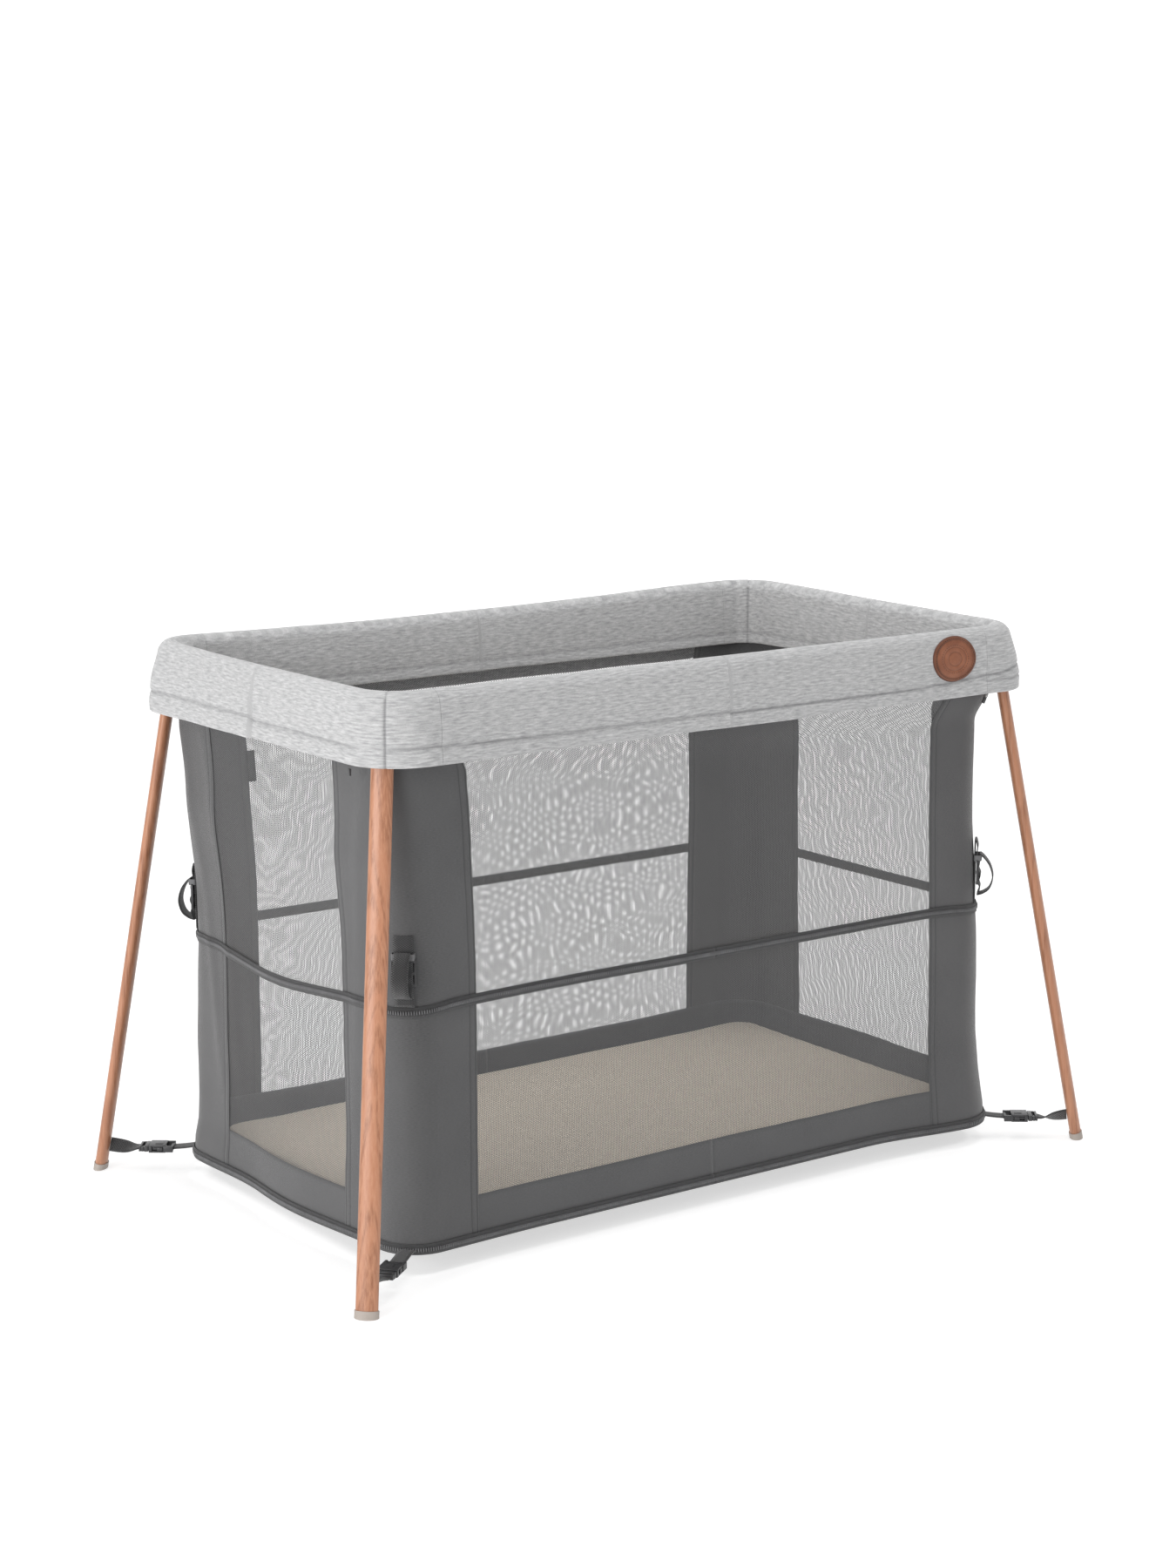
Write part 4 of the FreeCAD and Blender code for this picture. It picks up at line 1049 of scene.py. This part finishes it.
def foot_frame(side_x, side_y):
    """X out along the strap, from the base corner to the foot, Z up."""
    reach = (WALL_R + 0.0015) * math.sqrt(0.5)
    start = Vector((side_x * (WALL_X - WALL_R + reach), side_y * (WALL_Y - WALL_R + reach), STRAP_RISE))
    away = (Vector((side_x * FOOT_X, side_y * FOOT_Y, STRAP_RISE)) - start).normalized()
    up_axis = Vector((0, 0, 1))
    return Matrix.Translation(start) @ Matrix((away, up_axis.cross(away), up_axis)).transposed().to_4x4()


def block(bm, place, x0, x1, half_y, z0, z1, y=0.0, taper=1.0):
    """A scaled cube in the buckle's frame. Its far end can be narrower."""
    made = bmesh.ops.create_cube(bm, size=1.0)["verts"]
    for vert in made:
        narrow = taper if vert.co.x > 0 else 1.0
        vert.co = Vector(((x0 + x1) / 2 + vert.co.x * (x1 - x0), y + vert.co.y * 2 * half_y * narrow,
                          (z0 + z1) / 2 + vert.co.z * (z1 - z0)))
    bmesh.ops.transform(bm, matrix=place, verts=made)
    return made


def female_half(bm, place):
    """A flat box open at its mouth and at both sides, with a webbing bar behind."""
    block(bm, place, 0.0525, 0.0560, 0.0135, -0.003, 0.003)
    for side in (-1, 1):
        block(bm, place, 0.0525, 0.0655, 0.0018, -0.0042, 0.0042, side * 0.0122)
        block(bm, place, 0.0815, 0.0858, 0.0016, -0.0045, 0.0045, side * 0.0124)
    block(bm, place, 0.0630, 0.0858, 0.0132, 0.0028, 0.0050)
    block(bm, place, 0.0630, 0.0858, 0.0132, -0.0050, -0.0028)
    block(bm, place, 0.0670, 0.0780, 0.0050, 0.0050, 0.0056)


def male_half(bm, place):
    """Two arms and a guide on a body with a slot for the webbing."""
    block(bm, place, 0.0866, 0.0925, 0.0132, -0.0038, 0.0038)
    block(bm, place, 0.0966, 0.0998, 0.0132, -0.0034, 0.0034)
    for side in (-1, 1):
        block(bm, place, 0.0925, 0.0966, 0.0018, -0.0034, 0.0034, side * 0.0116)
        block(bm, place, 0.0660, 0.0870, 0.0016, -0.0020, 0.0020, side * 0.0098)
        block(bm, place, 0.0665, 0.0745, 0.0022, -0.0024, 0.0024, side * 0.0112)
    block(bm, place, 0.0665, 0.0870, 0.0022, -0.0018, 0.0018)


print("strap from", [round(v, 4) for v in foot_frame(-1, -1).translation])

# %% Foot straps and buckles
flat_run = smooth_path([(0.001, 0, 0.001), (0.018, 0, 0.0035), (0.036, 0, 0.0015), (0.0535, 0, 0.0)])
leg_run = smooth_path([(0.0985, 0, 0.0), (0.109, 0, -0.0012), (0.122, 0, 0.0), (0.1415, 0, 0.003)])
for end, side_x in (("left", -1), ("right", 1)):
    body_straps, females = bmesh.new(), bmesh.new()
    for side, side_y in (("front", -1), ("back", 1)):
        place = foot_frame(side_x, side_y)
        bend_strap(body_straps, lambda t: (flat_run(t), Vector((0, 0, 1))), 0.053, 0.0195, place, 14)
        female_half(females, place)
        males, leg_strap = bmesh.new(), bmesh.new()
        male_half(males, place)
        male = soften(finish_piece(f"buckle_male_part_{side}_{end}", males, buckle_acetal), 0.0008, 2)
        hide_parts(f"buckle_male_{side}_{end}")
        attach(male, f"male_{side}_{end}")
        bend_strap(leg_strap, lambda t: (leg_run(t), Vector((0, 0, 1))), 0.043, 0.0195, place, 18,
                   twist=lambda t: side_x * side_y * 1.05 * ease(t, 0.1, 0.95))
        tie = thicken(finish_piece(f"leg_strap_{side}_{end}", leg_strap, webbing, outwards=False), 0.0016)
        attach(tie, f"leg_{side}_{end}")
    strap = thicken(finish_piece(f"foot_straps_{end}", body_straps, webbing, outwards=False), 0.0016)
    female = soften(finish_piece(f"buckle_female_parts_{end}", females, buckle_acetal), 0.0009, 2)
    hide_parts(f"buckle_females_{end}")
    for piece in (strap, female):
        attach(piece, f"end_{end}")
print("foot straps made")

# %% [markdown]
# ## Leather patch
# An oval of thick leather is stitched to the front of the rim. It starts as a filled circle, is inset ring
# by ring, and each ring is lowered or raised a little as a press would do. A ring of stitches lies near the
# edge. The pressed ornament is a plain border of small dots and a small ring, with no mark or lettering.

# %% Leather finishes
tan, tan_shader = new_finish("tan_leather", (0.26, 0.09, 0.045), 0.5, Specular_IOR_Level=0.35)
pores = add_node(tan, "TexVoronoi", {"Scale": 1.0})
join(tan, solid_place(tan, 900, 900, 900), pores.inputs["Vector"])
burnish = add_node(tan, "Attribute", attribute_name="seam")
mottle = speckle(tan, solid_place(tan, 60, 60, 60), 3.0)
tone = mix_colours(tan, ramp(tan, mottle, 0.3, 0.7), (0.20, 0.066, 0.032), (0.30, 0.115, 0.06))
join(tan, mix_colours(tan, burnish.outputs["Fac"], tone, (0.085, 0.030, 0.017)),
     tan_shader.inputs["Base Color"])
raise_surface(tan, tan_shader, pores.outputs["Distance"], 0.0004, 0.6)
stitch_yarn = moulded("dark_thread", (0.05, 0.022, 0.014), (0.08, 0.035, 0.02), 0.7)

# %% Patch
PATCH_X, PATCH_Z, PATCH_A, PATCH_B = 0.381, 0.7005, 0.0390, 0.0310


def face_y(x, z):
    """Where the cover's front face is at this height."""
    point, _, _ = shape_cover(Vector((x, -(SIDE_Y - LEAN * (z - HEM_Z) / (CREST_Z - HEM_Z)), z)), {})
    return point.y


bm = bmesh.new()
bmesh.ops.create_circle(bm, cap_ends=True, cap_tris=False, segments=96, radius=1.0)
lay, seam = lay_on(bm), seam_on(bm)
rings = []
for share, height, shade in ((0.035, 0.0014, 0.8), (0.025, 0.0019, 0.5), (0.09, 0.0019, 0.1),
                             (0.02, 0.0014, 0.7), (0.02, 0.0019, 0.15), (0.28, 0.0019, 0.0),
                             (0.018, 0.0015, 0.6), (0.018, 0.0019, 0.1), (0.17, 0.0019, 0.0),
                             (0.02, 0.0014, 0.6), (0.02, 0.0019, 0.1), (0.12, 0.0019, 0.0)):
    middle = max(bm.faces, key=lambda f: len(f.verts) * (f.calc_center_median().length < 0.01))
    bmesh.ops.inset_region(bm, faces=[middle], thickness=share, depth=0, use_boundary=True)
    rings.append((min(v.co.length for v in middle.verts), height, shade))
bmesh.ops.poke(bm, faces=[max(bm.faces, key=lambda f: len(f.verts))])
for vert in bm.verts:
    radius = vert.co.xy.length
    ring = min(rings, key=lambda r: abs(r[0] - radius)) if radius < 0.985 else (1.0, 0.0002, 0.9)
    if radius < rings[-1][0] * 0.9:
        ring = (0.0, 0.0019, 0.0)
    x, z = PATCH_X + vert.co.x * PATCH_A, PATCH_Z + vert.co.y * PATCH_B
    vert[seam] = ring[2]
    vert.co = Vector((x, face_y(x, max(z, HEM_Z + 0.024)) - 0.0004 - ring[1], z))
patch = finish_piece("patch", bm, tan)
thicken(patch, 0.0012, offset=-1.0)
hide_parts("leather_patch")
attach(patch, "rail_front_right")

bm = bmesh.new()
for i in range(56):
    angle = 2 * math.pi * i / 56
    x, z = PATCH_X + 0.88 * PATCH_A * math.cos(angle), PATCH_Z + 0.88 * PATCH_B * math.sin(angle)
    along = Vector((-PATCH_A * math.sin(angle), 0, PATCH_B * math.cos(angle))).normalized()
    across = along.cross(Vector((0, 1, 0)))
    axes = Matrix((along * 0.0025, Vector((0, 0.0009, 0)), across * 0.0008)).transposed().to_4x4()
    bmesh.ops.create_cube(bm, size=1.0, matrix=Matrix.Translation((x, face_y(x, z) - 0.0024, z)) @ axes)
for i in range(36):
    angle = 2 * math.pi * (i + 0.5) / 36
    x, z = PATCH_X + 0.60 * PATCH_A * math.cos(angle), PATCH_Z + 0.60 * PATCH_B * math.sin(angle)
    bmesh.ops.create_uvsphere(bm, u_segments=6, v_segments=4, radius=0.0007,
                              matrix=Matrix.Translation((x, face_y(x, z) - 0.0021, z)))
stitches = finish_piece("patch_stitches", bm, stitch_yarn)
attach(stitches, "rail_front_right")
print("patch rings:", len(rings))

# %% [markdown]
# ## Small trims
# A blank tape label is sewn to the inside of the back wall, where its panel meets the mesh. Two short zip
# pulls hang from the rim's lower edge, each a thin cord through a moulded tab.

# %% Blank label and zip pulls
label_tape, label_shader = new_finish("label_tape", (0.03, 0.03, 0.03), 0.8)
join(label_tape, mix_colours(label_tape, weave_height(label_tape, solid_place(label_tape, 900, 900, 900)),
                             (0.022, 0.022, 0.023), (0.05, 0.05, 0.05)), label_shader.inputs["Base Color"])
low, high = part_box("blank_label")
bm = bmesh.new()
bmesh.ops.create_grid(bm, x_segments=6, y_segments=18, size=0.5)
for vert in bm.verts:
    x = (low.x + high.x) / 2 + vert.co.x * (high.x - low.x)
    z = (low.z + high.z) / 2 + vert.co.y * (high.z - low.z)
    vert.co = on_wall(HALF_ROUND - abs(x), z, -1, -0.0022 - 0.0016 * (0.5 - vert.co.y))[0]
label = thicken(finish_piece("label", bm, label_tape, outwards=False), 0.0008)
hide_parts("blank_label")
fold_with(label, "left")


def zip_pull(name, place, body):
    """A cord loop and a small tab below it."""
    bm = bmesh.new()
    made = bmesh.ops.create_circle(bm, cap_ends=False, segments=10, radius=0.0008)["verts"]
    bmesh.ops.rotate(bm, verts=made, cent=(0, 0, 0), matrix=Matrix.Rotation(math.pi / 2, 3, "X"))
    bmesh.ops.translate(bm, verts=made, vec=(0.0036, 0, 0))
    bmesh.ops.spin(bm, geom=made + list(bm.edges), cent=(0, 0, 0), axis=(0, 1, 0), dvec=(0, 0, 0),
                   angle=2 * math.pi, steps=24, use_merge=True, use_duplicate=False)
    bmesh.ops.scale(bm, vec=(0.8, 1.0, 1.35), verts=bm.verts)
    bmesh.ops.translate(bm, vec=(0, 0, -0.0035), verts=bm.verts)
    tab = bmesh.ops.create_cube(bm, size=1.0)["verts"]
    bmesh.ops.scale(bm, vec=(0.0044, 0.0022, 0.0080), verts=tab)
    bmesh.ops.translate(bm, vec=(0, 0, -0.0115), verts=tab)
    bmesh.ops.transform(bm, matrix=place, verts=bm.verts)
    piece = soften(finish_piece(name, bm, buckle_acetal), 0.0005, 2)
    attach(piece, body)
    return piece


zip_pull("rim_zip_pull_right",
         Matrix.Translation((0.4475, -0.3035, 0.6475)) @ Matrix.Rotation(0.5, 4, "Y"), "end_right")
zip_pull("rim_zip_pull_left",
         Matrix.Translation((-0.5220, -0.2300, 0.6475)) @ Matrix.Rotation(1.4, 4, "Z"), "end_left")
print("trims made")

# %% [markdown]
# ## Mattress
# The mattress is a thin foam pad in a beige woven cover. A soft pad is never a box: its faces crown and its
# edges round off. A slightly smaller box is remeshed evenly and blown up by a short cloth simulation with
# no gravity. No point may move far, the flat underside stays on its boards, and one subdivision smooths the
# result.

# %% Mattress pad
pad_low, pad_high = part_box("mattress_pad")
PAD_CORNER_R, PAD_EDGE_R = 0.030, 0.006
SHRINK, VOXEL, PRESSURE, MOST_MOVE = 0.004, 0.0068, 4.0, 0.006   # of the blank, remesh and simulation


def pad_blank(shrink):
    """A slab with rounded corners, smaller than the pad by shrink all round."""
    bm = bmesh.new()
    size = pad_high - pad_low
    bmesh.ops.create_cube(bm, size=1.0)
    bmesh.ops.scale(bm, vec=(size.x - 2 * shrink, size.y - 2 * shrink, size.z - shrink * 1.6), verts=bm.verts)
    bmesh.ops.translate(bm, vec=((pad_low.x + pad_high.x) / 2, (pad_low.y + pad_high.y) / 2,
                                 pad_low.z + 0.0006 + (size.z - shrink * 1.6) / 2), verts=bm.verts)
    upright = [e for e in bm.edges if abs(e.verts[0].co.z - e.verts[1].co.z) > 0.01]
    bmesh.ops.bevel(bm, geom=upright, offset=PAD_CORNER_R, offset_type="OFFSET", segments=6, profile=0.5,
                    affect="EDGES", material=-1)
    level = [e for e in bm.edges if abs(e.verts[0].co.z - e.verts[1].co.z) < 1e-5 and len(e.link_faces) == 2
             and abs(e.link_faces[0].normal.z - e.link_faces[1].normal.z) > 0.5]
    bmesh.ops.bevel(bm, geom=level, offset=PAD_EDGE_R, offset_type="OFFSET", segments=3, profile=0.5,
                    affect="EDGES", material=-1)
    return bm


def puff(piece, voxel, pressure, cap):
    """Remeshes the piece, blows it up with cloth, caps every point's move and keeps the result."""
    bpy.context.view_layer.objects.active = piece
    remesh = piece.modifiers.new("even", "REMESH")
    remesh.mode, remesh.voxel_size = "VOXEL", voxel
    bpy.ops.object.modifier_apply(modifier=remesh.name)
    start = [v.co.copy() for v in piece.data.vertices]
    cloth = piece.modifiers.new("cloth", "CLOTH")
    cloth.settings.use_pressure, cloth.settings.uniform_pressure_force = True, pressure
    cloth.settings.effector_weights.gravity = 0
    cloth.settings.quality = 4
    scene = bpy.context.scene
    for frame_number in range(1, 21):
        scene.frame_set(frame_number)
    bpy.ops.object.modifier_apply(modifier=cloth.name)
    scene.frame_set(1)
    for vert, was in zip(piece.data.vertices, start):
        move = vert.co - was
        if move.length > cap:
            vert.co = was + move * (cap / move.length)
        vert.co.z = max(vert.co.z, pad_low.z + 0.0005)
    return piece


mattress = finish_piece("mattress", pad_blank(SHRINK), beige)
puff(mattress, VOXEL, PRESSURE, MOST_MOVE)
rounder = mattress.modifiers.new("smooth", "SUBSURF")
rounder.levels = rounder.render_levels = 1
bpy.ops.object.modifier_apply(modifier=rounder.name)
for polygon in mattress.data.polygons:
    polygon.use_smooth = True
bm = bmesh.new()
bm.from_mesh(mattress.data)
for vert in bm.verts:
    if vert.co.z > pad_low.z + 0.012:
        vert.co.z += 0.0010 * noise.noise(Vector((vert.co.x * 9, vert.co.y * 9, 4.0)))
        vert.co.z = min(vert.co.z, pad_high.z + 0.004)
bm.to_mesh(mattress.data)
bm.free()
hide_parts("mattress_pad")
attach(mattress, "mattress")
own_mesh(mattress)
print("mattress faces:", len(mattress.data.polygons))

# %% [markdown]
# ## Studio
# A pale floor, a bright wall behind, even light from all round and one large soft light from the left make
# the left end the brightest side and keep the shadows faint.

# %% Floor, wall and lights
def plain_plane(name, place, size, colour, glow):
    """A plain studio surface that glows a little."""
    bm = bmesh.new()
    bmesh.ops.create_grid(bm, x_segments=1, y_segments=1, size=0.5)
    bmesh.ops.scale(bm, vec=(*size, 1), verts=bm.verts)
    bmesh.ops.transform(bm, matrix=place, verts=bm.verts)
    finish, shader = new_finish(name, colour, 0.9, Emission_Color=(1, 1, 1, 1), Emission_Strength=glow,
                                Specular_IOR_Level=0.0)
    plane = finish_piece(name, bm, finish)
    return plane


plain_plane("studio_floor", Matrix.Translation((0.5, 0.8, -0.0006)), (26, 26), (0.6, 0.6, 0.6), 0.56)
facing = (Matrix.Translation((3.2, 4.6, 2.0)) @ Matrix.Rotation(-yaw, 4, "Z")
          @ Matrix.Rotation(math.pi / 2, 4, "X"))
plain_plane("studio_wall", facing, (14, 6), (0.4, 0.4, 0.4), 1.0)

world = bpy.data.worlds.new("studio_air")
world.use_nodes = True
world.node_tree.nodes["Background"].inputs["Color"].default_value = (1, 1, 1, 1)
world.node_tree.nodes["Background"].inputs["Strength"].default_value = 0.62
bpy.context.scene.world = world


def soft_light(name, place, aim, size, power):
    """A large area light at place, turned towards aim."""
    lamp = bpy.data.lights.new(name, "AREA")
    lamp.shape, lamp.size, lamp.size_y, lamp.energy = "RECTANGLE", size[0], size[1], power
    holder = bpy.data.objects.new(name, lamp)
    holder.location = place
    holder.rotation_euler = (Vector(aim) - Vector(place)).to_track_quat("-Z", "Y").to_euler()
    bpy.context.scene.collection.objects.link(holder)
    return holder


soft_light("key", (-3.6, -0.8, 0.95), (0, 0, 0.40), (2.4, 1.5), 72)
soft_light("top", (0.2, -0.3, 3.4), (0, 0, 0.4), (2.6, 2.0), 55)
bpy.context.scene.view_settings.view_transform = "Standard"
